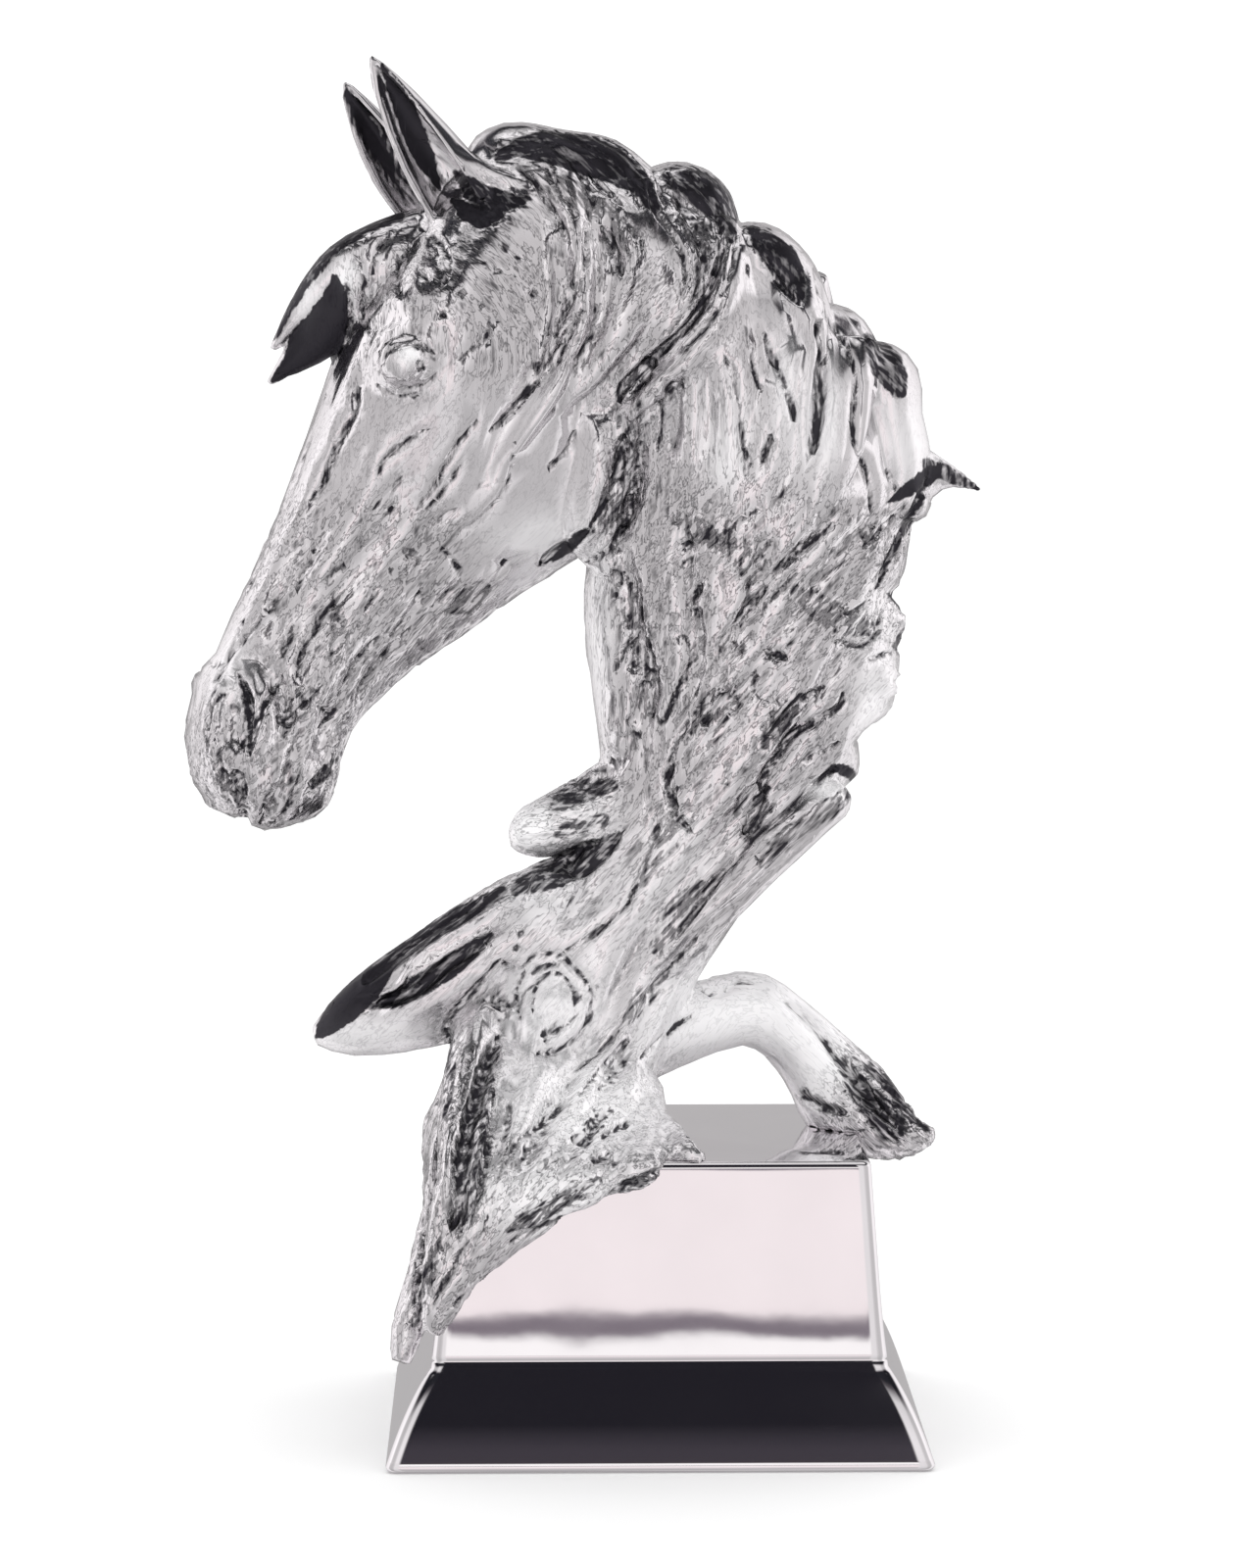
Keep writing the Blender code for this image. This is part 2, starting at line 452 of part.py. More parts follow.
def carve(mesh):
    """Cuts the strokes and knots into both flanks of the head and of the figure."""
    points, normals = corners_of(mesh), outward(mesh)
    local = (points - SEAT) / PART
    plane = np.stack((local @ RIGHT, local @ UP, local @ NEAR), axis=1)
    tilt = np.stack((normals @ RIGHT, normals @ UP, normals @ NEAR), axis=1)
    from_poll = plane - POLL
    on_head = np.stack((from_poll @ ALONG, from_poll @ BROW), axis=1)
    side, side_tilt = from_poll @ SIDE, tilt @ SIDE
    of_head = (np.abs(side) < 31) & (side * side_tilt > 0) & (on_head[:, 0] > 12) & (on_head[:, 1] > -64)
    of_head &= (on_head[:, 0] > 100) | (on_head[:, 1] > 0.55 * (on_head[:, 0] - 12) - 62) & (np.abs(side) > 11)
    depth = np.zeros(len(points))
    facing = np.clip(1.5 * np.abs(side_tilt), 0, 1) * of_head
    for half_width, deep, path in HEAD_STROKES:
        depth += facing * stroke_depth(on_head, half_width, deep, path)
    for knot in HEAD_KNOTS:
        depth += facing * knot_depth(on_head, *knot)
    facing = np.clip(1.5 * np.abs(tilt[:, 2]), 0, 1)
    for half_width, deep, path in FIGURE_STROKES:
        depth += facing * stroke_depth(plane[:, :2], half_width, deep, path)
    for knot in FIGURE_KNOTS:
        depth += facing * knot_depth(plane[:, :2], *knot)
    place_corners(mesh, points - normals * (depth * PART)[:, None])


def eyeballs(bm):
    for side in (-1, 1):
        ball = bmesh.ops.create_uvsphere(bm, u_segments=20, v_segments=12, radius=6.4 * PART)["verts"]
        middle = Vector(figure(head((62.5, 9.6, side * 22.4)))[0])
        bmesh.ops.translate(bm, verts=ball, vec=middle)


def thinned(obj, triangles):
    """Keeps about this many triangles, most of them where the carving bends."""
    have = sum(len(face.vertices) - 2 for face in obj.data.polygons)
    fewer = obj.modifiers.new("fewer_faces", "DECIMATE")
    fewer.ratio = min(triangles / have, 1.0)
    fewer.use_collapse_triangulate = True
    settle(obj)


def rounded_outline(half_width, half_depth, radius, z, steps=4):
    corners = ((1, 1, 0), (-1, 1, 90), (-1, -1, 180), (1, -1, 270))
    places = []
    for sx, sy, start in corners:
        for step in range(steps + 1):
            turn = math.radians(start + 90 * step / steps)
            places.append((sx * (half_width - radius) + radius * math.cos(turn),
                           sy * (half_depth - radius) + radius * math.sin(turn), z))
    return places


def plinth_form(bm, grow=0.0, steps=4):
    """The flared foot and the block, as outlines stacked upwards; grow enlarges every face outwards."""
    levels = []
    for share in np.linspace(0, 1, 4):
        turn = share * math.pi / 2
        levels.append((FOOT_EDGE * (1 - math.cos(turn)), 0.0, FOOT_EDGE * (1 - math.sin(turn))))
    for share in np.linspace(0.12, 1, 10):
        flare = 0.46 * share + 0.54 * share ** 2.4
        levels.append((FOOT_EDGE + share * (FOOT_HEIGHT - 2 * FOOT_EDGE), flare, 0.0))
    levels.append((FOOT_HEIGHT, 1.0, 0.0008))
    for share in np.linspace(0.06, 1, 8):
        levels.append((FOOT_HEIGHT + share * (BLOCK_HEIGHT - BLOCK_EDGE), 1.0, 0.0008 + share * (BLOCK_BATTER - 0.0008)))
    for share in np.linspace(0.25, 1, 4):
        turn = share * math.pi / 2
        levels.append((PLINTH_TOP - BLOCK_EDGE * (1 - math.sin(turn)), 1.0,
                       BLOCK_BATTER + BLOCK_EDGE * (1 - math.cos(turn))))
    rings = []
    for z, share, inset in levels:
        half_width = (FOOT_WIDTH + share * (BLOCK_WIDTH - FOOT_WIDTH)) / 2 - inset
        half_depth = (FOOT_DEPTH + share * (BLOCK_DEPTH - FOOT_DEPTH)) / 2 - inset
        lift = grow * (1 if z > PLINTH_TOP - 0.0001 else -1 if z < 0.0001 else 0)
        rings.append(rounded_outline(half_width + grow, half_depth + grow, CORNER_RADIUS + grow, z + lift, steps))
    sweep(bm, rings)


def finish(name, colour, roughness):
    material = bpy.data.materials.new(name)
    material.use_nodes = True
    shader = material.node_tree.nodes["Principled BSDF"]
    shader.inputs["Base Color"].default_value = colour
    shader.inputs["Metallic"].default_value = 1.0
    shader.inputs["Roughness"].default_value = roughness
    return material


def build_casting():
    bm = bmesh.new()
    head_form(bm)
    eyeballs(bm)
    mane_and_forelock(bm)
    driftwood(bm)
    casting = as_object("horse_head_on_driftwood", bm)
    united(casting, CARVING_STEP)
    soften(casting.data, 4)
    carve(casting.data)
    soften(casting.data, 2, keep=1.04)
    thinned(casting, KEPT_TRIANGLES)
    return casting


def cut_seat(casting):
    """Takes the plinth's shape, grown by the seat gap, out of the casting, and drops the crumbs."""
    bm = bmesh.new()
    plinth_form(bm, grow=SEAT_GAP)
    cutter = as_object("seat_cutter", bm)
    cut = casting.modifiers.new("seat", "BOOLEAN")
    cut.operation = "DIFFERENCE"
    cut.solver = "EXACT"
    cut.object = cutter
    settle(casting)
    bpy.data.objects.remove(cutter)
    bm = bmesh.new()
    bm.from_mesh(casting.data)
    left, bodies = set(bm.verts), []
    while left:
        body, edge = set(), {left.pop()}
        while edge:
            body |= edge
            edge = {e.other_vert(vert) for vert in edge for e in vert.link_edges} - body
        left -= body
        bodies.append(body)
    crumbs = set().union(*bodies) - max(bodies, key=len)
    bmesh.ops.delete(bm, geom=list(crumbs), context="VERTS")
    bm.to_mesh(casting.data)
    bm.free()


def main():
    for obj in list(bpy.data.objects):
        bpy.data.objects.remove(obj)
    casting = build_casting()
    cut_seat(casting)
    bm = bmesh.new()
    plinth_form(bm)
    plinth = as_object("plinth", bm)
    casting.data.materials.clear()
    casting.data.materials.append(finish("silvered resin, carved", (0.86, 0.85, 0.86, 1.0), 0.12))
    plinth.data.materials.append(finish("silvered resin, smooth", (0.86, 0.85, 0.86, 1.0), 0.06))


main()
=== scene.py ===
"""Looks of a silvered horse head that grows out of driftwood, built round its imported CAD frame.

The casting is modelled again at full detail from the masses that the CAD solid has, as one skin
that is carved and grained, and the plinth gets its polished, slightly wavy faces. Metres, +Z up,
the front faces -Y. Figures of the casting are in parts of its height: u right, v up, w near.
"""
import logging
import math
from dataclasses import dataclass, field
from enum import Enum

import bmesh
import bpy
import numpy as np
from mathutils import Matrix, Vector


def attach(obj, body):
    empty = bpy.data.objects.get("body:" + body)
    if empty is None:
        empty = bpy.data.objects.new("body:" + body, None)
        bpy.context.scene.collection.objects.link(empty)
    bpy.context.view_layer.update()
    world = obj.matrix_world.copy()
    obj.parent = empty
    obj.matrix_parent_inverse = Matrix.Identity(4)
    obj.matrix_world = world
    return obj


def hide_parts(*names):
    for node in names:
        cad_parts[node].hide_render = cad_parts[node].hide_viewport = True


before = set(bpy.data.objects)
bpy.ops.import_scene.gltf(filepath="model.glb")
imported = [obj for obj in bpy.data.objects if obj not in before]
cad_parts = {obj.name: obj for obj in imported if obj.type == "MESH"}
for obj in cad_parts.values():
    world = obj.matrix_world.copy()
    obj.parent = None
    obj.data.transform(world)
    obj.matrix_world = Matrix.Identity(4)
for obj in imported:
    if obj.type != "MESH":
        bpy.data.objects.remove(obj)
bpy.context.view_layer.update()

Array = np.ndarray
Row = tuple[float, ...]
Rows = tuple[Row, ...]
Socket = bpy.types.NodeSocket
log = logging.getLogger("horse_head")

# The casting's height in its own parts and in metres, and how it stands on the plinth
PARTS_HIGH = 274.0
FIGURE_HEIGHT = 0.274
PART = FIGURE_HEIGHT / PARTS_HIGH
FIGURE_TURN = math.radians(-1.0)
FIGURE_SHIFT = -0.0017
# How the head turns towards the viewer and hangs
HEAD_TURN = math.radians(18.0)
HEAD_PITCH = math.radians(65.75)
SEED = 41


def unit(values: Array) -> Array:
    """Keeps values between 0 and 1."""
    return np.clip(values, 0, 1)


class Face(Enum):
    """A face of the plinth that roots run down over."""

    FRONT = "front"
    LEFT = "left"
    BACK = "back"


@dataclass(frozen=True)
class Viewpoint:
    """Where the photograph was taken from, as its plinth's edges say."""

    azimuth: float = math.radians(-1.0)
    elevation: float = math.radians(6.0)
    distance: float = 1.3
    off_centre: float = -0.0098
    height: float = 0.1652
    scale: float = 4000.0
    width: int = 1259
    tall: int = 1600
    sensor: float = 36.0

    def axes(self) -> tuple[Array, Array, Array]:
        """Returns the picture's right and up, and the way back to the camera."""
        a, e = self.azimuth, self.elevation
        right = np.array((math.cos(a), math.sin(a), 0.0))
        level = np.array((math.sin(a), -math.cos(a), 0.0))
        rise = np.array((0.0, 0.0, 1.0))
        return right, math.cos(e) * rise - math.sin(e) * level, math.cos(e) * level + math.sin(e) * rise

    def target(self) -> Array:
        """Returns the point in the middle of the picture."""
        return self.axes()[0] * self.off_centre + np.array((0.0, 0.0, self.height))

    def seen(self, points: Array) -> Array:
        """Finds where points show in the picture.

        Args:
            points: Points in metres.

        Returns:
            Their columns and rows in pixels.
        """
        right, rise, back = self.axes()
        away = points - self.target()
        scale = self.scale * self.distance / (self.distance - away @ back)
        return np.stack(((self.width - 1) / 2 + scale * (away @ right),
                         self.tall / 2 - scale * (away @ rise)), axis=1)

    def set_up(self) -> bpy.types.Object:
        """Makes the camera and gives it to the scene."""
        data = bpy.data.cameras.new("camera")
        data.sensor_width = self.sensor
        data.lens = self.sensor * self.distance * self.scale / self.tall
        camera = bpy.data.objects.new("camera", data)
        bpy.context.scene.collection.objects.link(camera)
        back = Vector(self.axes()[2])
        camera.location = Vector(self.target()) + back * self.distance
        camera.rotation_mode = "QUATERNION"
        camera.rotation_quaternion = (-back).to_track_quat("-Z", "Y")
        bpy.context.scene.camera = camera
        return camera


@dataclass(frozen=True)
class FigureAxes:
    """The casting's upright plane on the plinth, and the head's own axes in it."""

    seat_height: float = 0.0753
    right: Array = field(
        default_factory=lambda: np.array((math.cos(FIGURE_TURN), math.sin(FIGURE_TURN), 0.0)))
    rise: Array = field(default_factory=lambda: np.array((0.0, 0.0, 1.0)))
    near: Array = field(
        default_factory=lambda: np.array((math.sin(FIGURE_TURN), -math.cos(FIGURE_TURN), 0.0)))
    poll: Array = field(default_factory=lambda: np.array((-35.0, 251.0, 0.0)))

    def seat(self) -> Array:
        """Returns the point of the plinth's top that u, v and w are counted from."""
        return np.array((FIGURE_SHIFT, 0.0, self.seat_height))

    def head_axes(self) -> tuple[Array, Array, Array]:
        """Returns the head's directions along the face, out of the brow and sideways, in u, v, w."""
        facing = np.array((-math.cos(HEAD_TURN), 0.0, math.sin(HEAD_TURN)))
        lift = np.array((0.0, 1.0, 0.0))
        along = math.cos(HEAD_PITCH) * facing - math.sin(HEAD_PITCH) * lift
        brow = math.sin(HEAD_PITCH) * facing + math.cos(HEAD_PITCH) * lift
        return along, brow, np.array((math.sin(HEAD_TURN), 0.0, math.cos(HEAD_TURN)))

    def place(self, points: Array | list) -> Array:
        """Turns rows of (u, v, w) into points in metres."""
        p = np.atleast_2d(np.asarray(points, float)) * PART
        return self.seat() + p[:, :1] * self.right + p[:, 1:2] * self.rise + p[:, 2:3] * self.near

    def place_on_head(self, points: Array | list) -> Array:
        """Turns rows of (along, brow, side) into points in metres."""
        p = np.atleast_2d(np.asarray(points, float))
        along, brow, side = self.head_axes()
        return self.place(self.poll + p[:, :1] * along + p[:, 1:2] * brow + p[:, 2:3] * side)

    def read(self, points: Array) -> Array:
        """Turns points in metres into rows of (u, v, w)."""
        local = (points - self.seat()) / PART
        return self.turned(local)

    def turned(self, directions: Array) -> Array:
        """Turns directions of the model into the casting's own (u, v, w)."""
        return np.stack((directions @ self.right, directions @ self.rise, directions @ self.near), axis=1)


AXES = FigureAxes()
VIEWPOINT = Viewpoint()


def flowing(stations: Rows | Array, steps: int) -> Array:
    """Runs a smooth curve through rows of numbers.

    Args:
        stations: Rows that the curve passes.
        steps: Steps between two rows.

    Returns:
        The rows of the finer curve.
    """
    p = np.asarray(stations, float)
    p = np.vstack((2 * p[0] - p[1], p, 2 * p[-1] - p[-2]))
    t = np.linspace(0, 1, steps, endpoint=False)[:, None]
    rows = [b + 0.5 * t * (c - a + t * (2 * a - 5 * b + 4 * c - d + t * (3 * (b - c) + d - a)))
            for a, b, c, d in zip(p, p[1:], p[2:], p[3:])]
    return np.vstack(rows + [p[-2:-1]])


def sweep(bm: bmesh.types.BMesh, rings: list) -> None:
    """Draws the first ring as a capped circle and extrudes its cap from ring to ring.

    Args:
        bm: The mesh that it is drawn in.
        rings: The points of each ring, as many in each.
    """
    count = len(rings[0])
    face = bmesh.ops.create_circle(bm, cap_ends=True, segments=count, radius=1.0)["verts"][0].link_faces[0]
    corners = list(face.verts)
    for vert, place in zip(corners, rings[0]):
        vert.co = Vector(place)
    for number, ring in enumerate(rings[1:]):
        lid = face
        made = bmesh.ops.extrude_face_region(bm, geom=[lid])["geom"]
        face = next(item for item in made if isinstance(item, bmesh.types.BMFace))
        if number:
            bmesh.ops.delete(bm, geom=[lid], context="FACES_ONLY")
        risen = {}
        for vert in face.verts:
            below = next(e.other_vert(vert) for e in vert.link_edges if e.other_vert(vert) not in face.verts)
            risen[below] = vert
        corners = [risen[vert] for vert in corners]
        for vert, place in zip(corners, ring):
            vert.co = Vector(place)


def limb(bm: bmesh.types.BMesh, stations: Rows | list, sides: int = 18, steps: int = 6) -> None:
    """Models a tapering limb.

    Args:
        bm: The mesh that it is drawn in.
        stations: Rows of (u, v, w, half-thickness in the plane, half-thickness across it).
        sides: Corners round the limb.
        steps: Rings between two rows.
    """
    rows = flowing(stations, steps)
    centre, across, deep = rows[:, :3], np.maximum(rows[:, 3:4], 0.3), np.maximum(rows[:, 4:5], 0.3)
    forward = np.gradient(centre, axis=0)
    forward /= np.linalg.norm(forward, axis=1, keepdims=True)
    level = np.cross(forward, (0.0, 0.0, 1.0))
    level /= np.maximum(np.linalg.norm(level, axis=1, keepdims=True), 1e-6)
    out = np.cross(level, forward)
    turn = np.linspace(0, 2 * math.pi, sides, endpoint=False)
    sweep(bm, [AXES.place(c + a * np.outer(np.cos(turn), n) + b * np.outer(np.sin(turn), o))
               for c, a, b, n, o in zip(centre, across, deep, level, out)])


def as_object(name: str, bm: bmesh.types.BMesh) -> bpy.types.Object:
    """Makes a scene object of a mesh, with its faces outwards.

    Args:
        name: The object's name.
        bm: The mesh, which is used up.

    Returns:
        The object.
    """
    bmesh.ops.recalc_face_normals(bm, faces=bm.faces[:])
    mesh = bpy.data.meshes.new(name)
    bm.to_mesh(mesh)
    bm.free()
    obj = bpy.data.objects.new(name, mesh)
    bpy.context.scene.collection.objects.link(obj)
    return obj


def settle(obj: bpy.types.Object) -> None:
    """Makes the object's modifiers part of its mesh."""
    graph = bpy.context.evaluated_depsgraph_get()
    finished = bpy.data.meshes.new_from_object(obj.evaluated_get(graph))
    obj.modifiers.clear()
    obj.data = finished


def off_path(points: Array, path: Array) -> tuple[Array, Array]:
    """Measures points of a plane against a line.

    Args:
        points: Points of the plane.
        path: The line's corners.

    Returns:
        How far each point lies from the line, and its place along it from 0 to 1.
    """
    best = np.full(len(points), np.inf)
    place = np.zeros(len(points))
    for i, (a, b) in enumerate(zip(path, path[1:])):
        along = unit((points - a) @ (b - a) / max((b - a) @ (b - a), 1e-9))
        away = np.hypot(*(points - a - along[:, None] * (b - a)).T)
        nearer = away < best
        best[nearer] = away[nearer]
        place[nearer] = (i + along[nearer]) / (len(path) - 1)
    return best, place


class Lattice:
    """Smooth seeded noise in space, from about -1 to 1."""

    def __init__(self, seed: int) -> None:
        """Draws the lattice's slopes."""
        rng = np.random.RandomState(seed)
        self.order = np.tile(rng.permutation(256), 3)
        slopes = rng.normal(size=(256, 3))
        self.slopes = slopes / np.linalg.norm(slopes, axis=1, keepdims=True)

    def at(self, points: Array) -> Array:
        """Reads the noise at points given in cells."""
        cell = np.floor(points).astype(np.int64)
        part = points - cell
        fade = part ** 3 * (part * (part * 6 - 15) + 10)
        cell &= 255
        total = np.zeros(len(points))
        for corner in range(8):
            step = np.array((corner & 1, corner >> 1 & 1, corner >> 2 & 1))
            i, j, k = (cell + step).T
            slope = self.slopes[self.order[self.order[self.order[i] + j] + k]]
            weight = np.prod(np.where(step, fade, 1 - fade), axis=1)
            total += weight * np.einsum("ij,ij->i", slope, part - step)
        return total * 1.6

    def drawn_out(self, points: Array, lean: Array, size: float, stretch: float) -> Array:
        """Reads noise that is stretched along a direction of the figure's plane.

        Args:
            points: Rows of (u, v, w).
            lean: Each point's direction as an angle in the plane.
            size: A cell's size across the direction.
            stretch: How many times longer a cell is along it.

        Returns:
            The noise, from about -1 to 1.
        """
        turns = 10
        place = np.mod(lean, math.pi) / (math.pi / turns)
        low = np.floor(place).astype(int)
        share = place - low
        value = np.zeros(len(points))
        for turn in range(turns):
            weight = np.where(low % turns == turn, 1 - share, 0)
            weight += np.where((low + 1) % turns == turn, share, 0)
            inside = weight > 1e-3
            angle = turn * math.pi / turns
            along = np.array((math.cos(angle), math.sin(angle), 0.0))
            p = points[inside] / size
            p = p - (1 - 1 / stretch) * (p @ along)[:, None] * along + 7.3 * turn
            value[inside] += weight[inside] * self.at(p)
        return value / np.hypot(1 - share, share)


class Skin:
    """A mesh's corners as an array, so that it can be worked like clay."""

    def __init__(self, mesh: bpy.types.Mesh) -> None:
        """Reads the mesh's corners and edges."""
        self.mesh = mesh
        points = np.empty(len(mesh.vertices) * 3)
        mesh.vertices.foreach_get("co", points)
        self.points = points.reshape(-1, 3)
        ends = np.empty(len(mesh.edges) * 2, np.int64)
        mesh.edges.foreach_get("vertices", ends)
        self.ends = ends[0::2], ends[1::2]

    def outward(self) -> Array:
        """Returns each corner's direction out of the skin."""
        self.keep()
        normals = np.empty(len(self.mesh.vertices) * 3)
        self.mesh.vertex_normals.foreach_get("vector", normals)
        return normals.reshape(-1, 3)

    def keep(self) -> None:
        """Writes the corners back to the mesh."""
        self.mesh.vertices.foreach_set("co", self.points.astype(np.float32).ravel())
        self.mesh.update()

    def evened(self, values: Array, rounds: int, give_back: float = 0.0) -> Array:
        """Evens values out over the skin.

        Args:
            values: One row a corner.
            rounds: How many times each corner moves half way to its neighbours' mean.
            give_back: The share that each second round gives back of what the last one took.

        Returns:
            The evened values.
        """
        a, b = self.ends
        count = len(values)
        near = np.bincount(a, minlength=count) + np.bincount(b, minlength=count)
        for turn in range(rounds):
            total = np.stack([np.bincount(a, column[b], count) + np.bincount(b, column[a], count)
                              for column in values.T], axis=1)
            share = -0.5 * give_back if turn % 2 else 0.5
            values = values + share * (total / near[:, None] - values)
        return values

    def soften(self, rounds: int, give_back: float = 0.0) -> None:
        """Evens the skin itself out."""
        self.points = self.evened(self.points, rounds, give_back)

    def press(self, depth: Array) -> None:
        """Presses the skin in by so many parts at each corner."""
        self.points = self.points - self.outward() * (depth * PART)[:, None]

    def store(self, name: str, values: Array) -> None:
        """Stores one value a corner as an attribute of the mesh."""
        layer = self.mesh.attributes.new(name, "FLOAT", "POINT")
        layer.data.foreach_set("value", values.astype(np.float32))


@dataclass(frozen=True)
class Nodes:
    """The nodes of a material or of the world, with short ways to add to them.

    Attributes:
        tree: Where they are.
    """

    tree: bpy.types.NodeTree

    def feed(self, socket: Socket, part: object) -> None:
        """Links a socket to another one, or gives it a plain value."""
        if isinstance(part, Socket):
            self.tree.links.new(part, socket)
        else:
            socket.default_value = part

    def calculate(self, kind: str, *parts: object) -> Socket:
        """Adds a Math node that works on sockets and numbers, and returns its result."""
        node = self.tree.nodes.new("ShaderNodeMath")
        node.operation = kind
        for socket, part in zip(node.inputs, parts):
            self.feed(socket, part)
        return node.outputs[0]

    def blend(self, first: object, second: object, share: object, kind: str = "MIX") -> Socket:
        """Adds a Mix node of two colours.

        Args:
            first: The colour where the share is 0.
            second: The colour where it is 1.
            share: How much of the second colour there is.
            kind: The way of mixing.

        Returns:
            The mixed colour.
        """
        node = self.tree.nodes.new("ShaderNodeMix")
        node.data_type = "RGBA"
        node.blend_type = kind
        for name, part in (("A", first), ("B", second), ("Factor", share)):
            self.feed(node.inputs[name], part)
        return node.outputs["Result"]

    def cloud(self, place: Socket, scale: float, detail: float) -> Socket:
        """Adds a Noise node that reads a place, and returns its height."""
        node = self.tree.nodes.new("ShaderNodeTexNoise")
        node.inputs["Scale"].default_value = scale
        node.inputs["Detail"].default_value = detail
        self.tree.links.new(place, node.inputs["Vector"])
        return node.outputs["Fac"]

    def remap(self, value: Socket, source: Row, target: Row, kind: str = "LINEAR") -> Socket:
        """Adds a Map Range node.

        Args:
            value: What it reads.
            source: The two ends of what it reads.
            target: The two ends of what it gives.
            kind: How it goes from one end to the other.

        Returns:
            Its result.
        """
        node = self.tree.nodes.new("ShaderNodeMapRange")
        node.interpolation_type = kind
        for name, limit in zip(("From Min", "From Max", "To Min", "To Max"), source + target):
            node.inputs[name].default_value = limit
        self.tree.links.new(value, node.inputs["Value"])
        return node.outputs["Result"]

    def read(self, name: str) -> Socket:
        """Adds a node that reads one of the piece's attributes."""
        node = self.tree.nodes.new("ShaderNodeAttribute")
        node.attribute_name = name
        return node.outputs["Fac"]

    def ramp(self, value: Socket, stops: list[tuple[float, tuple]]) -> Socket:
        """Adds a colour ramp that reads a value, and returns its colour."""
        node = self.tree.nodes.new("ShaderNodeValToRGB")
        elements = node.color_ramp.elements
        elements[0].position, elements[1].position = stops[0][0], stops[-1][0]
        elements[0].color, elements[1].color = stops[0][1], stops[-1][1]
        for position, colour in stops[1:-1]:
            elements.new(position).color = colour
        self.tree.links.new(value, node.inputs[0])
        return node.outputs["Color"]


@dataclass(frozen=True)
class Silvering:
    """Polished silver plate over resin, with painted shade in its hollows, painted dark reflections in chosen
    places and painted highlights on satin places.

    Attributes:
        name: The material's name.
        bright: Colour of the plate.
        dark: Colour of the painted shade and painted dark reflections, and of the grain's hair lines.
        pale: Colour that the satin places tend to, a painted highlight.
        shade: How much of the plate's colour its dimmer clouds keep.
        cloud_size: Cells of those clouds in a metre.
        gloss: Roughness of the plate.
        gloss_drift: How much the clouds add to it.
        dark_rough: How much rougher the places with painted shade and painted dark reflections are.
        satin_rough: How much rougher the satin places are.
        satin_dull: How much less metallic they are.
        hair_narrow: How narrow the grain's hair lines are.
        hair_dark: How dark they are.
        ripple: Depth of the fine unevenness or grain, in metres.
        ripple_size: Cells of the unevenness in a metre.
        grain_size: Width of a cell of the grain, in metres.
        grain_stretch: How many times longer than wide a cell of the grain is.
        has_painted_light: Whether the piece has attributes of its painted shade, painted dark reflections,
            satin places and grain.
    """

    name: str
    bright: tuple[float, float, float, float] = (0.93, 0.915, 0.93, 1.0)
    dark: tuple[float, float, float, float] = (0.02, 0.018, 0.026, 1.0)
    pale: tuple[float, float, float, float] = (1.0, 0.99, 1.0, 1.0)
    shade: float = 0.93
    cloud_size: float = 60.0
    gloss: float = 0.12
    gloss_drift: float = 0.03
    dark_rough: float = 0.25
    satin_rough: float = 0.22
    satin_dull: float = 0.85
    hair_narrow: float = 11.0
    hair_dark: float = 0.9
    ripple: float = 0.00007
    ripple_size: float = 420.0
    grain_size: float = 0.0013
    grain_stretch: float = 6.0
    has_painted_light: bool = True

    def material(self) -> bpy.types.Material:
        """Builds the plate's material."""
        material = bpy.data.materials.new(self.name)
        material.use_nodes = True
        tree = material.node_tree
        nodes = Nodes(tree)
        shader = tree.nodes["Principled BSDF"]
        shader.inputs["Metallic"].default_value = 1.0
        place = tree.nodes.new("ShaderNodeTexCoord").outputs["Object"]
        drift = nodes.cloud(place, self.cloud_size, 3.0)
        dimmer = tuple(self.shade * part for part in self.bright[:3]) + (1.0,)
        colour = nodes.blend(self.bright, dimmer, drift)
        roughness = nodes.remap(drift, (0.0, 1.0), (self.gloss, self.gloss + self.gloss_drift))
        if self.has_painted_light:
            # Satin places are rougher and less metallic, and their colour is lifted towards pale as a painted
            # highlight
            satin_and_highlight = nodes.read("satin_and_highlight")
            metallic = nodes.calculate("MULTIPLY_ADD", satin_and_highlight, -self.satin_dull, 1.0)
            tree.links.new(metallic, shader.inputs["Metallic"])
            colour, roughness, height = self.painted_light_and_grain(nodes, place, satin_and_highlight, colour, roughness)
        else:
            height = nodes.cloud(place, self.ripple_size, 2.0)
        bump = tree.nodes.new("ShaderNodeBump")
        bump.inputs["Distance"].default_value = self.ripple
        bump.inputs["Strength"].default_value = 1.0
        tree.links.new(height, bump.inputs["Height"])
        tree.links.new(bump.outputs["Normal"], shader.inputs["Normal"])
        tree.links.new(colour, shader.inputs["Base Color"])
        tree.links.new(roughness, shader.inputs["Roughness"])
        return material

    def painted_light_and_grain(self, nodes: Nodes, place: Socket, satin_and_highlight: Socket, colour: Socket, roughness: Socket) -> tuple:
        """Adds painted shade, painted dark reflections, satin places with painted highlights and fine grain
        to the plate.

        Args:
            nodes: The material's nodes.
            place: The point on the piece.
            satin_and_highlight: How satin the plate is there, and how much painted highlight it gets.
            colour: The plate's colour.
            roughness: The plate's roughness.

        Returns:
            The new colour and roughness, and the grain's height.
        """
        grain, busy = self.grain(nodes, place), nodes.read("busy")
        # Painted shade and painted dark reflections, broken into streaks, then a painted highlight on the
        # satin places
        dark = self.streaked_dark(nodes, grain, busy)
        colour = nodes.blend(colour, self.dark, dark)
        colour = nodes.blend(colour, self.pale, nodes.calculate("SUBTRACT", satin_and_highlight, dark))
        roughness = nodes.calculate("MULTIPLY_ADD", dark, self.dark_rough, roughness)
        roughness = nodes.calculate("MULTIPLY_ADD", satin_and_highlight, self.satin_rough, roughness)
        relief = nodes.calculate("MULTIPLY", grain, busy)
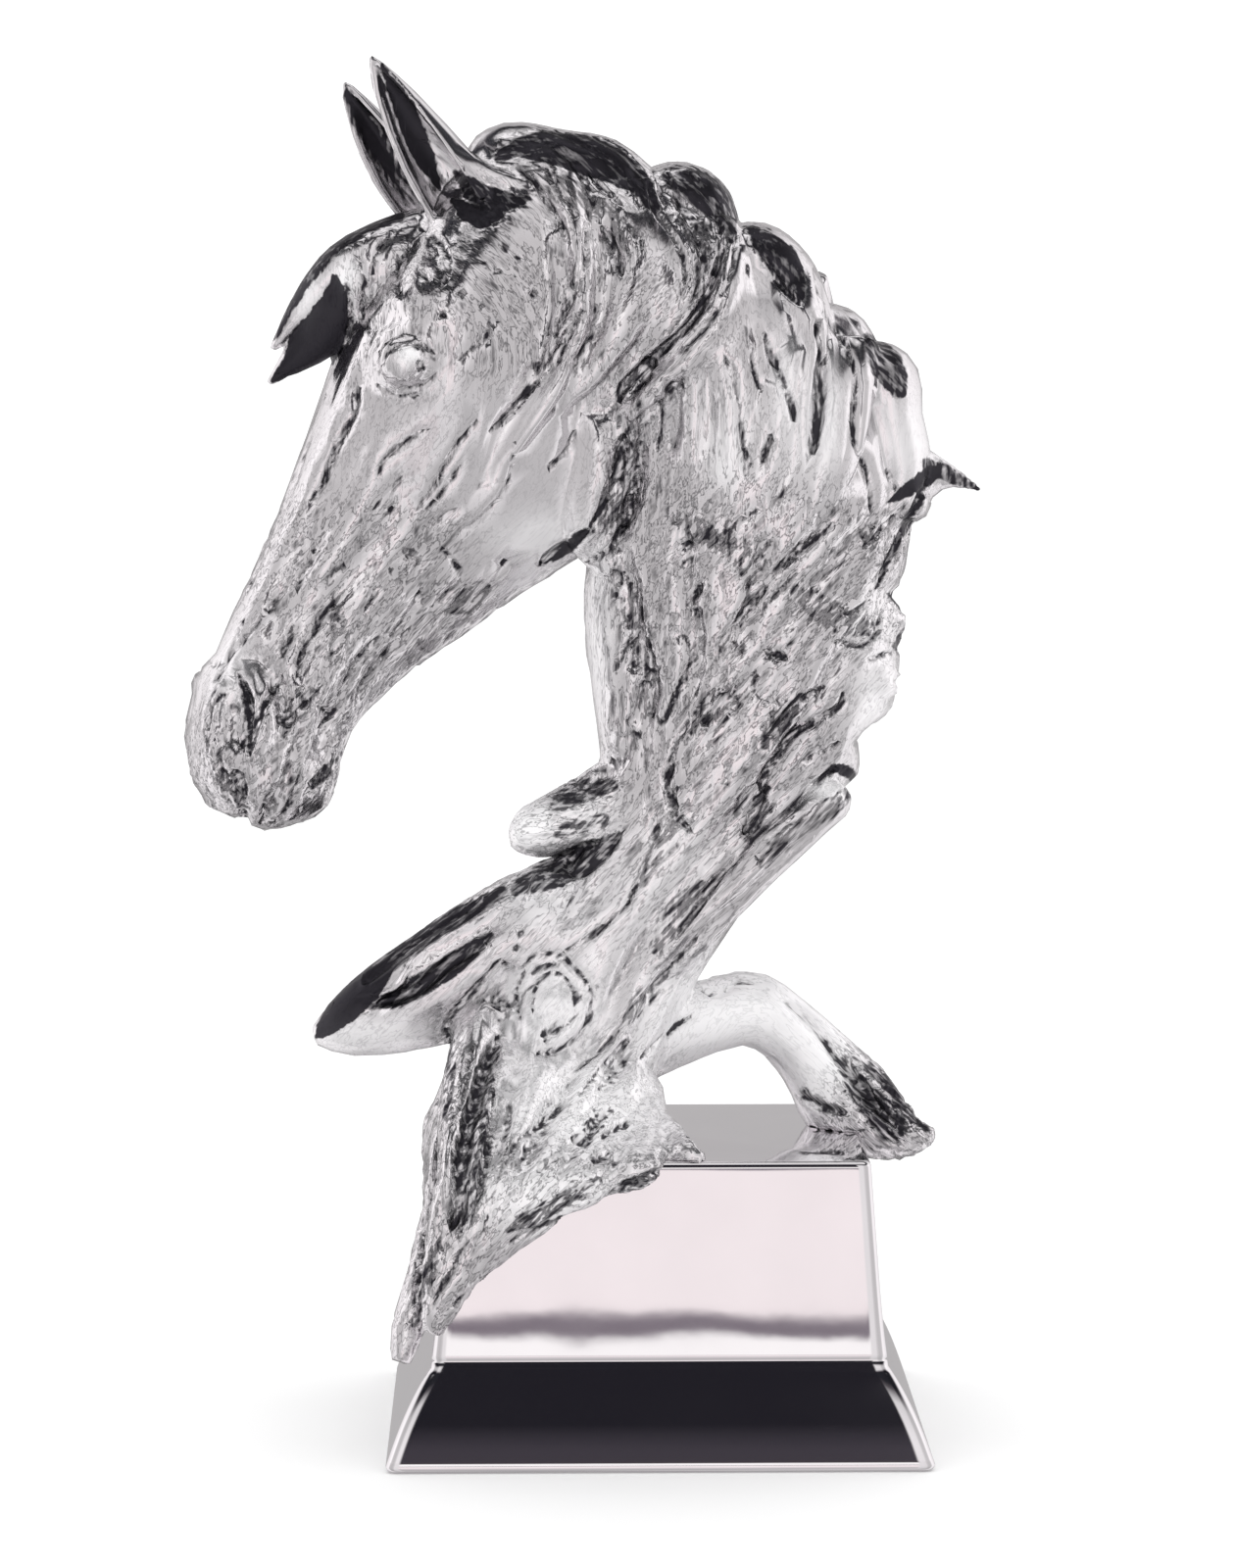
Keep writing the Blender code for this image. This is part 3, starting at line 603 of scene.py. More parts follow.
        # Painted shade: darker where the grain's relief dips
        dip_shade = nodes.remap(relief, (-0.45, -0.05), (0.45, 0.0))
        crossing = nodes.calculate("MULTIPLY_ADD", nodes.calculate("ABSOLUTE", grain), -self.hair_narrow, 1.0)
        hair = nodes.calculate("MULTIPLY", nodes.calculate("MAXIMUM", crossing, 0.0), busy)
        hair = nodes.calculate("MULTIPLY", hair, self.hair_dark)
        colour = nodes.blend(colour, self.dark, nodes.calculate("MAXIMUM", dip_shade, hair))
        return colour, roughness, relief

    def grain(self, nodes: Nodes, place: Socket) -> Socket:
        """Adds fine grain that runs the way the piece's attributes say.

        Args:
            nodes: The material's nodes.
            place: The point on the piece.

        Returns:
            The grain's height.
        """
        level, slant = nodes.read("run_level"), nodes.read("run_slant")
        size = self.grain_size
        total = None
        for turn, run, sign in ((0, level, 1), (45, slant, 1), (90, level, -1), (135, slant, -1)):
            weight = nodes.calculate("MAXIMUM", nodes.calculate("MULTIPLY", run, sign), 0.0)
            laid = nodes.tree.nodes.new("ShaderNodeMapping")
            laid.vector_type = "TEXTURE"
            laid.inputs["Rotation"].default_value = (0.0, -math.radians(turn), 0.0)
            laid.inputs["Scale"].default_value = (size * self.grain_stretch, size, size)
            nodes.tree.links.new(place, laid.inputs["Vector"])
            noise = nodes.cloud(laid.outputs["Vector"], 1.0, 2.0)
            share = nodes.calculate("MULTIPLY", nodes.calculate("MULTIPLY_ADD", noise, 2.0, -1.0), weight)
            total = share if total is None else nodes.calculate("ADD", total, share)
        return total

    def streaked_dark(self, nodes: Nodes, grain: Socket, busy: Socket) -> Socket:
        """Breaks the painted shade and painted dark reflections up into streaks along the grain.

        Args:
            nodes: The material's nodes.
            grain: The grain's height.
            busy: How much of the grain there is.

        Returns:
            How much painted shade and painted dark reflection the plate has, from 0 to 1.
        """
        # The hollow attribute holds painted shade and painted dark reflections
        hollow = nodes.read("hollow")
        clean = nodes.calculate("SUBTRACT", 1.0, hollow)
        reach = nodes.calculate("MAXIMUM", nodes.calculate("MULTIPLY", hollow, 4.0), busy)
        streak = nodes.calculate("MULTIPLY", grain, nodes.calculate("MULTIPLY", clean, reach))
        level = nodes.calculate("MULTIPLY_ADD", streak, -1.6, nodes.calculate("MULTIPLY", hollow, 1.3))
        return nodes.remap(level, (0.25, 1.05), (0.0, 0.97))


@dataclass
class Plinth:
    """The flared foot and the block on it, polished, with faces that are not quite even.

    Attributes:
        node: The CAD node that it stands for.
        foot_width: Width of the foot, and in the same way its depth, height and rounding.
        block_width: Width of the block's foot, and in the same way its depth, height and rounding.
        batter: How far the block leans in on each side.
        corner: Radius of the upright corners.
        ledge: Step between the flare and the block.
        cove_height: How far up the block the cove at its foot goes.
        cove_proud: How far the cove stands out.
        wave: Depth of the faces' waves.
        finish: The plate on it.
    """

    node: str = "plinth"
    foot_width: float = 0.1360
    foot_depth: float = 0.1170
    foot_height: float = 0.0259
    foot_edge: float = 0.0016
    block_width: float = 0.1140
    block_depth: float = 0.0965
    block_height: float = 0.0494
    batter: float = 0.0042
    block_edge: float = 0.0016
    corner: float = 0.0022
    ledge: float = 0.0008
    cove_height: float = 0.0172
    cove_proud: float = 0.0007
    wave: float = 0.00006
    finish: Silvering = Silvering("silver_plate_smooth", gloss=0.03, ripple=0.00001, ripple_size=90.0,
                                  has_painted_light=False)

    @property
    def top(self) -> float:
        """Height of the plinth's top."""
        return self.foot_height + self.block_height

    def outline(self, half_width: float, half_depth: float, z: float, radius: float, along: int) -> list:
        """Goes once round the plinth at one height.

        Args:
            half_width: Half the width there.
            half_depth: Half the depth there.
            z: The height.
            radius: Radius of the four corners.
            along: Steps along each side.

        Returns:
            The points of the outline.
        """
        corners = ((1, 1, 0), (-1, 1, 90), (-1, -1, 180), (1, -1, 270))
        bends = 5
        arcs = []
        for sx, sy, start in corners:
            turns = [math.radians(start + 90 * step / bends) for step in range(bends + 1)]
            middle = np.array((sx * (half_width - radius), sy * (half_depth - radius), z))
            arcs.append([middle + radius * np.array((math.cos(turn), math.sin(turn), 0.0)) for turn in turns])
        places = []
        for arc, following in zip(arcs, arcs[1:] + arcs[:1]):
            places += arc
            places += [arc[-1] + (following[0] - arc[-1]) * step / along for step in range(1, along)]
        return places

    def levels(self) -> list[tuple[float, float, float]]:
        """Lists (height, share of the flare, inset) from the underside to the top."""
        levels = []
        for share in np.linspace(0, 1, 5):
            turn = share * math.pi / 2
            levels.append((self.foot_edge * (1 - math.cos(turn)), 0.0, self.foot_edge * (1 - math.sin(turn))))
        for share in np.linspace(0.06, 1, 17):
            flare = 0.72 * share + 0.28 * share ** 2.8
            levels.append((self.foot_edge + share * (self.foot_height - 2 * self.foot_edge), flare, 0.0))
        levels.append((self.foot_height - 0.0003, 1.0, 0.0002))
        levels.append((self.foot_height, 1.0, self.ledge))
        rise = self.block_height - self.block_edge
        for share in np.linspace(0.01, 1, 44):
            inset = self.ledge + share * (self.batter - self.ledge)
            levels.append((self.foot_height + share * rise, 1.0, inset))
        for share in np.linspace(0.15, 1, 6):
            turn = share * math.pi / 2
            levels.append((self.top - self.block_edge * (1 - math.sin(turn)), 1.0,
                           self.batter + self.block_edge * (1 - math.cos(turn))))
        return levels

    def shape(self, bm: bmesh.types.BMesh, grow: float = 0.0, along: int = 56) -> None:
        """Stacks the outlines.

        Args:
            bm: The mesh that it is drawn in.
            grow: How far every face is moved outwards.
            along: Steps along each side.
        """
        rings = []
        for z, share, inset in self.levels():
            half_width = (self.foot_width + share * (self.block_width - self.foot_width)) / 2 - inset
            half_depth = (self.foot_depth + share * (self.block_depth - self.foot_depth)) / 2 - inset
            lift = grow * (1 if z > self.top - 0.0001 else -1 if z < 0.0001 else 0)
            radius = self.corner + grow
            rings.append(self.outline(half_width + grow, half_depth + grow, z + lift, radius, along))
        sweep(bm, rings)

    def unevenness(self, points: Array) -> Array:
        """Works out the cove at the block's foot and the waves of the faces.

        Args:
            points: Points of the plinth.

        Returns:
            How far each point stands out, in metres.
        """
        x, y, z = points.T
        wave = Lattice(SEED + 5)
        place = np.stack((x / 0.034, y / 0.034, z / 0.09), axis=1)
        level = place * np.array((1.0, 1.0, 0.0))
        reach = self.cove_height + 0.0026 * wave.at(level + 3.1) + 0.0018 * wave.at(2.6 * level + 7.7)
        reach += 0.0011 * wave.at(7 * level + 1.3)
        corner = np.maximum(np.abs(x) / self.block_width, np.abs(y) / self.block_depth)
        reach += 0.003 * unit((corner - 0.44) / 0.03) ** 2
        above = z - self.foot_height
        on_block = (above > 0.0001) & (z < self.top - self.block_edge - 0.0003)
        cove = np.where(on_block, unit(1 - above / reach) ** 2, 0) * self.cove_proud
        ripple = self.wave * wave.at(np.stack((x / 0.03, y / 0.03, z / 0.022), axis=1))
        ends = unit(np.minimum(above, self.top - self.block_edge - z) / 0.004)
        return np.where(on_block, cove + ripple * ends, 0)

    def build(self) -> bpy.types.Object:
        """Builds the plinth and puts it in the CAD node's place."""
        bm = bmesh.new()
        self.shape(bm)
        obj = as_object("plinth_polished", bm)
        skin = Skin(obj.data)
        normals = skin.outward()
        normals[:, 2] = 0
        skin.points = skin.points + normals * self.unevenness(skin.points)[:, None]
        skin.keep()
        obj.data.shade_smooth()
        obj.data.materials.append(self.finish.material())
        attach(obj, "root")
        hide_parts(self.node)
        return obj


# Stations of the head: place along the face, then the height of the bridge and its half-width,
# the height and half-width of the widest level, of the lower level, and the height of the jaw
HEAD_STATIONS: Rows = (
    (-9, -9, 5, -14, 9, -20, 8, -24),
    (0, 5, 9, -8, 17, -22, 15, -31),
    (14, 11, 12, -5, 21, -24, 18, -35),
    (30, 15, 15, 0, 25, -28, 20, -42),
    (46, 18.5, 16, 3, 28, -34, 22, -51),
    (60, 19.5, 14, 3, 27.5, -38, 23, -60),
    (70, 19.5, 12.5, 0, 25, -37.5, 22.5, -62),
    (82, 19, 11, -3, 22, -35.5, 20.5, -60),
    (94, 18.5, 10, -4, 19.5, -31.5, 17, -52.2),
    (106, 18, 9.5, -5, 17.5, -26.8, 13.6, -44.4),
    (119, 18, 9, -5, 16, -21.8, 11.6, -36.6),
    (132, 18.5, 8.5, -4, 15.2, -17, 11, -28.6),
    (146, 18.5, 8.5, -2, 15.8, -12.6, 11.6, -22.4),
    (157, 18.5, 9, 2, 17.4, -10, 13.5, -21),
    (164, 17.5, 9.5, 2, 17.8, -11, 13.8, -22.5),
    (171, 15.3, 9.5, 1, 16.8, -11, 13.5, -22.5),
    (177.5, 11, 8.8, -1, 14, -10, 11, -18),
    (182.5, 4.5, 6, -4, 9, -8, 7, -11),
)
# The casting's main masses: rows of (u, v, w, half-thickness in the plane, half-thickness across it)
NECK: Rows = (
    (-33, 240, 0, 9, 13), (-22, 234, 0, 15, 19), (-8, 225, 0, 21, 22), (12, 206, 0, 27, 24.5),
    (25, 184, 0, 35, 25), (28, 161, 0, 39, 24.5), (23.5, 142, 0, 40, 23.5), (24, 127, 0, 40.5, 23),
    (23.5, 112, 0, 38, 22.5), (17.5, 97, 0, 30, 22), (10, 82, 0, 26, 21), (1, 66, 1, 24, 20),
    (-9, 50, 2, 24, 19), (-17.5, 34, 3, 24.5, 20), (-24, 18, 3, 26, 23), (-27.5, 5, 2, 25.5, 28),
    (-29, -5, 2, 24, 31),
)
MANE_LUMPS: tuple[Rows, ...] = (
    ((-46, 246, 0, 3, 8), (-40, 248.2, 0, 7.4, 10), (-33, 248.8, 1, 8.8, 11), (-24, 246.8, 1, 9.2, 12),
     (-12, 245.2, 0, 8.5, 12), (-3, 240.6, 0, 6.6, 12), (4, 235, 0, 3, 11)),
    ((-6, 238, -2, 3, 10), (4, 239, -2, 8.6, 12), (12, 236.8, -2, 8.8, 13), (18, 229.5, -2, 6, 13),
     (24, 221, 0, 2, 11)),
    ((17.6, 225.6, 2, 5.4, 11), (26.4, 224, 3, 8.8, 13), (34.2, 219.6, 3, 7.6, 13), (39.8, 211, 2, 6, 13),
     (45, 204, 0, 2, 11)),
    ((38, 208, -2, 3, 11), (46.2, 205.2, -3, 7, 13), (52, 199.6, -3, 6.6, 13), (57, 192, -1, 3, 11)),
    ((49, 197, 1, 4, 12), (58, 193.2, 2, 9.6, 13), (61, 182.8, 2, 8.4, 13), (63.2, 172, 1, 8, 13),
     (61, 160, 0, 6.5, 13)),
)
LOCKS: tuple[Rows, ...] = (
    ((-26, 249, 9, 5, 5), (-22, 238, 15, 6.5, 5), (-19, 222, 20, 6, 5), (-20, 205, 23, 5, 4.5),
     (-28, 188, 24.5, 4, 3.6),
     (-40, 172, 25, 2.6, 2.4), (-48, 161, 24, 1, 1)),
    ((-4, 241, 9, 6, 5), (-2, 226, 17, 7, 5), (-6, 210, 21, 6, 4.5), (-15, 195, 22, 4, 3.4),
     (-23, 185, 22, 1.2, 1.2)),
    ((16, 232, 10, 6, 5), (18, 218, 18, 7, 5), (12, 204, 21, 5.6, 4.2), (2, 192, 21.5, 3.4, 3),
     (-6, 183, 21, 1.2, 1.2)),
    ((36, 218, 10, 6, 5), (38, 205, 17, 6.5, 5), (35, 190, 21, 5.6, 4), (31, 175, 22, 3.6, 3),
     (26, 162, 22, 1.2, 1.2)),
    ((52, 202, 9, 6, 5), (50, 190, 16, 6.5, 5), (47, 174, 20.5, 5.4, 4), (41, 160, 22, 3.6, 3),
     (35, 148, 22, 1.2, 1.2)),
)
FORELOCKS: tuple[Rows, ...] = (
    ((-42, 233, 2, 4, 7), (-56, 230.5, 4, 5.8, 9), (-68, 226.2, 7, 6.2, 9.5), (-77.5, 220.8, 9, 5.8, 8),
     (-86.2, 211.8, 11, 3.8, 5.5), (-94.5, 200.5, 12, 0.9, 1.5)),
    ((-56, 226, 6, 6, 8), (-68, 222, 9, 7.4, 9), (-76, 214, 10, 8, 7), (-83, 204, 10.5, 6.5, 5),
     (-95.5, 192, 12, 0.8, 1.2)),
)
BRANCHES: tuple[Rows, ...] = (
    # The throat behind the jaw, and the valley beside the right-hand branch, filled
    ((-2, 205, 9, 10, 10), (-8, 190, 11, 11, 10), (-12, 174, 11, 10, 10), (-14, 158, 9, 9, 10),
     (-9.5, 146.5, 6, 5.5, 9)),
    ((44, 96, 10, 5, 5), (34, 84, 12, 6, 6), (22, 70, 13, 6, 6), (10, 58, 13, 5, 5)),
    # The gap between the first two locks of the mane, filled
    ((-13, 238, 6, 7, 7), (-12, 224, 14, 7, 8), (-12.5, 211, 17, 7, 7.5), (-17, 198, 17.5, 6, 6.5),
     (-24, 186, 16, 4, 4)),
    # The neck's left edge, and its swell under the thorn
    ((-6, 148, 0, 8.5, 14), (-6, 132, 0, 10, 15), (-5, 116, 1, 9.8, 15), (-4, 100, 2, 8.8, 15),
     (-4, 84, 2, 8, 14)),
    # The rim of the near ear's root
    ((-49.6, 252.6, 15, 1.4, 1.6), (-47, 249.2, 17, 2.0, 2.2), (-42.4, 245.4, 17.5, 2.2, 2.6),
     (-35.5, 242.4, 16.5, 2.3, 2.6), (-29.5, 239.8, 15.5, 2.2, 2.6), (-30, 236.2, 16.5, 2.2, 2.6),
     (-36, 233.6, 18, 2.4, 2.8),
     (-43, 229.6, 19, 2.6, 3)),
    ((52, 170, 0, 8, 9), (63, 169.5, 0, 9, 7), (71, 169, 0, 5.8, 4.4), (77.5, 167.8, 0, 2.6, 2.2),
     (84.3, 164.8, 0, 0.6, 0.7)),
    ((-8, 36, 9, 6, 6), (7.4, 50.6, 13, 6.2, 7), (25, 68, 14, 5.9, 7), (39.2, 81.8, 12, 6.2, 7),
     (46.3, 87.8, 11, 6, 6.2),
     (49.5, 90.5, 11, 3, 3)),
    ((2, 92, 4, 12, 10), (-13, 85, 7, 9.5, 8), (-25, 80.2, 9, 8, 7), (-32, 78.2, 10, 6, 5.4),
     (-35.5, 77.6, 10, 2.5, 2.5)),
    ((-8, 57, 4, 20, 16), (-28, 51.6, 6, 17.6, 15), (-45, 42.2, 7, 17, 13), (-57, 37.2, 8, 14.4, 11.5),
     (-69, 32, 8, 11.4, 9.5), (-79, 28, 8, 7.2, 6.6), (-85.4, 26.3, 8, 2.4, 2.4)),
    ((-8, 22, -2, 12, 11), (6, 26.5, -4, 10.5, 10), (17, 29.5, -7, 9.8, 9), (26.6, 30.4, -10, 9.8, 9),
     (35.6, 24.8, -12, 9, 9), (44, 16, -13, 10.3, 9.5), (50.8, 7.4, -11, 12.4, 11), (59.5, 1.2, -6, 10, 10),
     (67, -1.2, -2, 6.2, 7), (73.8, -0.6, 0, 1.8, 2.5)),
    ((48, 134, 2, 9, 11), (59, 131.5, 3, 6.5, 7.5), (65, 131, 3, 2.5, 3)),
    ((45, 119, 6, 9, 9), (57, 117.5, 7, 6.5, 6.5), (63.5, 116, 7, 2.6, 3)),
    ((32, 104, 8, 9, 8), (43, 103.6, 8, 5.6, 6), (48.5, 104.4, 8, 2.2, 2.5)),
    ((-20, 62, 16, 7, 6), (-30, 66, 16, 4, 3.5)),
)
# Roots over the plinth: the first rows stand free, and in the rows after them w, or u on the left
# face, counts outwards from the plinth's face
ROOTS: tuple[tuple[Face, Rows, Rows], ...] = (
    (Face.FRONT, ((-27, 30, 11, 17, 9), (-28, 9, 29, 18, 7)),
     ((-33, -4, 0.4, 16, 3.8), (-40, -15, 0.4, 11, 3.2), (-47, -27, 0.4, 6, 2.6), (-52, -36, 0.2, 2, 1.6))),
    (Face.FRONT, ((-40, 32, 14, 9, 9), (-44, 12, 30, 9, 9)),
     ((-45, -4, 2, 8.5, 5.5), (-48, -20, 2, 8, 5), (-51, -32, 1.8, 6, 4.2), (-54, -42, 1, 3, 2.4))),
    (Face.FRONT, ((-30, 30, 14, 10, 9), (-33, 10, 31, 10, 8.5)),
     ((-36, -4, 2, 8.4, 5), (-41, -16, 1.8, 7, 4.4), (-46, -26, 1.4, 5, 3.4), (-50, -34, 1, 2, 2))),
    (Face.FRONT, ((-18, 26, 12, 10, 9), (-22, 8, 31, 9.5, 7)),
     ((-27, -4, 2, 7.4, 4.6), (-33, -12, 1.6, 5.6, 3.8), (-40, -20, 1, 2, 2))),
    (Face.FRONT, ((-8, 18, 12, 9, 8), (-11, 5, 30, 8.5, 6)),
     ((-15, -3.5, 1.8, 6.4, 4.2), (-21, -8.5, 1.2, 4.6, 3.2), (-28, -13, 1, 1.8, 1.8))),
    (Face.FRONT, ((-4, 12, 10, 8, 8), (-2, 3.5, 29, 7.5, 5)),
     ((-2, -0.5, 0.5, 5.6, 3.8), (-7, -4, 1, 3.8, 2.8), (-13, -7.5, 1, 1.6, 1.6))),
    (Face.FRONT, ((-6, 8, 14, 7, 6), (4, 2, 29, 6.5, 4)),
     ((9, 0.5, -4, 5.2, 3), (14, 0, -2, 1.8, 1.8))),
    (Face.LEFT, ((-41, 28, 0, 8, 20), (-45, 10, 0, 6, 24)),
     ((0.2, -3, 2, 3.6, 21), (0.4, -13, 9, 3, 15), (0.4, -25, 17, 2.6, 9), (0.4, -35, 24, 1.6, 3))),
    (Face.LEFT, ((-42, 34, 4, 7.4, 10), (-44.8, 16, 10, 6, 10)),
     ((0.2, 0, 16, 3.3, 7.5), (0.2, -14, 22, 3.4, 6.5), (1.8, -30, 29, 4.4, 5.5), (4.6, -44, 34, 4.4, 4.6),
      (6, -52, 37, 2.8, 3.2))),
    (Face.LEFT, ((-42, 30, -4, 8, 10), (-46.5, 12, -8, 6.6, 10)),
     ((0.8, -2, -8, 4.4, 7.5), (0.8, -14, -4, 3.4, 6), (0.8, -26, 4, 2.6, 3.6))),
    (Face.LEFT, ((-40, 26, -14, 7, 9), (-46, 8, -24, 6.4, 8)),
     ((1.4, -3, -26, 4.4, 5.6), (1.4, -12, -25, 2.2, 3.4))),
    (Face.BACK, ((-25, 26, -11, 15, 9), (-27, 7, -29, 16, 7)),
     ((-30, -4, 0.4, 13, 3.6), (-36, -13, 0.3, 8, 2.6), (-42, -20, 0.2, 3, 1.8))),
    (Face.BACK, ((-34, 28, -14, 9, 9), (-38, 8, -31, 9, 8)),
     ((-41, -4, 1.8, 7, 4.6), (-44, -15, 1.4, 5, 3.6), (-47, -24, 1, 2, 2))),
    (Face.BACK, ((-20, 24, -12, 9, 9), (-24, 7, -31, 9, 7)),
     ((-27, -4, 1.8, 6.6, 4.4), (-30, -11, 1.2, 3.6, 2.8), (-32, -16, 1, 1.6, 1.6))),
    (Face.BACK, ((-8, 16, -12, 8, 8), (-10, 4, -29, 8, 6)),
     ((-9, -1.5, 0.4, 5.6, 3.8), (-7, -5, 0.8, 2.2, 2))),
)
# Broad strokes on the head, in (along, brow): half-width, depth (below nought it stands out), path
HEAD_STROKES: tuple[tuple[float, float, Rows], ...] = (
    (5.5, 1.3, ((50, 8), (55, 3.5), (63, 2.2), (71, 5.0), (76, 8.5))),
    (4.6, 1.2, ((50, 12), (55, 17.5), (63, 19), (71, 15.5), (77, 10))),
    (4.2, -1.6, ((47, 12.5), (53, 20), (62, 23), (73, 20))),
    (2.4, -0.8, ((52, 10), (57, 15), (63, 16.2), (70, 13))),
    (2.4, -0.7, ((52, 8.5), (57, 5), (63, 4.2), (70, 6.5))),
    (4.0, -1.5, ((80, 5.5), (95, 4), (110, 4.2), (124, 6))),
    (4.5, 1.3, ((84, -3), (98, -4.5), (112, -3), (126, 0))),
    (4.2, 1.1, ((84, 12.5), (100, 11.5), (118, 11.5), (134, 12))),
    (3.2, 2.4, ((155, 12), (161, 10.5), (166, 8.5))),
    (3.0, -1.6, ((150, 9), (154, 5.5), (162, 3.6), (170, 5))),
    (2.8, -1.8, ((151, 13.5), (157, 16.5), (165, 15), (172, 9.5))),
    (2.6, 1.8, ((143, 15), (145, 8), (150, 2), (158, -1), (166, -1.5))),
    (2.3, 2.8, ((190, -8), (184, -8.5), (176, -7.6), (168, -7.2), (158, -6), (150, -4))),
    (3.2, -1.2, ((178, -3.5), (168, -3), (158, -1.5))),
    (3.4, 1.6, ((160, -13), (154, -12), (147, -11))),
    (4.4, 2.6, ((96, -44), (90, -34), (91, -24), (97, -15))),
    (4.0, -1.6, ((52, -42), (62, -54), (74, -57), (86, -52), (92, -42), (88, -30))),
    (4.0, 1.4, ((40, -30), (52, -22), (66, -20), (80, -22), (88, -28))),
)
HEAD_KNOTS: Rows = ((108, -13, 4.2),)
# Broad strokes on the figure, in (u, v), in the same manner
FIGURE_STROKES: tuple[tuple[float, float, Rows], ...] = (
    (4.6, 2.6, ((-17, 187), (-9, 183), (-6.5, 172), (-7.5, 160), (-13, 150), (-23, 144))),
    (3.0, 1.6, ((-26, 244), (-22, 226), (-21, 207), (-27, 190), (-40, 171), (-48, 160))),
    (3.4, -1.2, ((-21, 243), (-17, 225), (-17, 208), (-23, 192), (-36, 174), (-46, 162))),
    (3.0, 1.4, ((-12, 240), (-11, 222), (-13, 206), (-20, 192))),
    (3.0, 1.6, ((17, 224), (13, 212), (6, 201), (-8, 189), (-14, 182))),
    (3.2, -1.2, ((21, 222), (18, 210), (11, 199), (-2, 189))),
    (3.0, 1.3, ((40, 207), (33, 202), (27, 190), (24, 172))),
    (3.0, 1.6, ((34, 212), (39, 200), (36, 186), (35, 170), (31, 160))),
    (3.4, -1.4, ((43, 205), (45, 192), (43, 176), (38, 162))),
    (3.0, 1.6, ((50, 198), (51, 186), (48, 170), (41, 156), (34, 146))),
    (3.2, 2.2, ((5, 196), (6, 184), (4, 174))),
    (3.0, 2.0, ((14, 199), (15, 186), (14, 172))),
    (4.2, 2.2, ((56, 158), (44, 148), (30, 130), (20, 112), (8, 96), (-2, 80), (-14, 64), (-28, 50))),
    (3.4, -1.8, ((52, 160), (38, 142), (24, 122), (12, 102), (0, 84), (-12, 68))),
    (3.6, 1.8, ((62, 138), (48, 124), (38, 106), (26, 88), (12, 72), (0, 56), (-10, 38), (-20, 20),
                (-32, 2))),
    (3.4, 2.2, ((44, 84), (30, 68), (14, 54), (4, 42), (-4, 26), (-14, 12))),
    (3.2, 2.0, ((2, 58), (-6, 42), (-12, 28), (-24, 12), (-36, -6))),
    (4.2, 2.4, ((-34, 50), (-37, 40), (-39, 28), (-43, 15), (-46, 2), (-48.5, -12), (-51, -26))),
    (3.0, 2.0, ((-36, 34), (-33, 22), (-38, 6), (-44, -12))),
    (3.2, 2.0, ((-34, 60), (-48, 50), (-62, 39), (-76, 31))),
    (3.4, 1.8, ((-30, 46), (-46, 36), (-58, 30))),
    (3.2, 2.0, ((-6, 150), (-4, 132), (0, 116), (-6, 100), (-18, 88))),
    (3.0, 1.8, ((8, 158), (10, 140), (12, 124), (6, 106))),
    (3.0, 1.8, ((30, 156), (26, 140), (22, 124))),
    (2.6, 1.6, ((12, 36), (24, 38), (36, 33), (46, 22), (54, 12), (60, 4))),
)
FIGURE_KNOTS: Rows = ((-24, 33, 10.5), (8, 150, 3.0), (-1, 118, 2.4), (30, 112, 2.6))

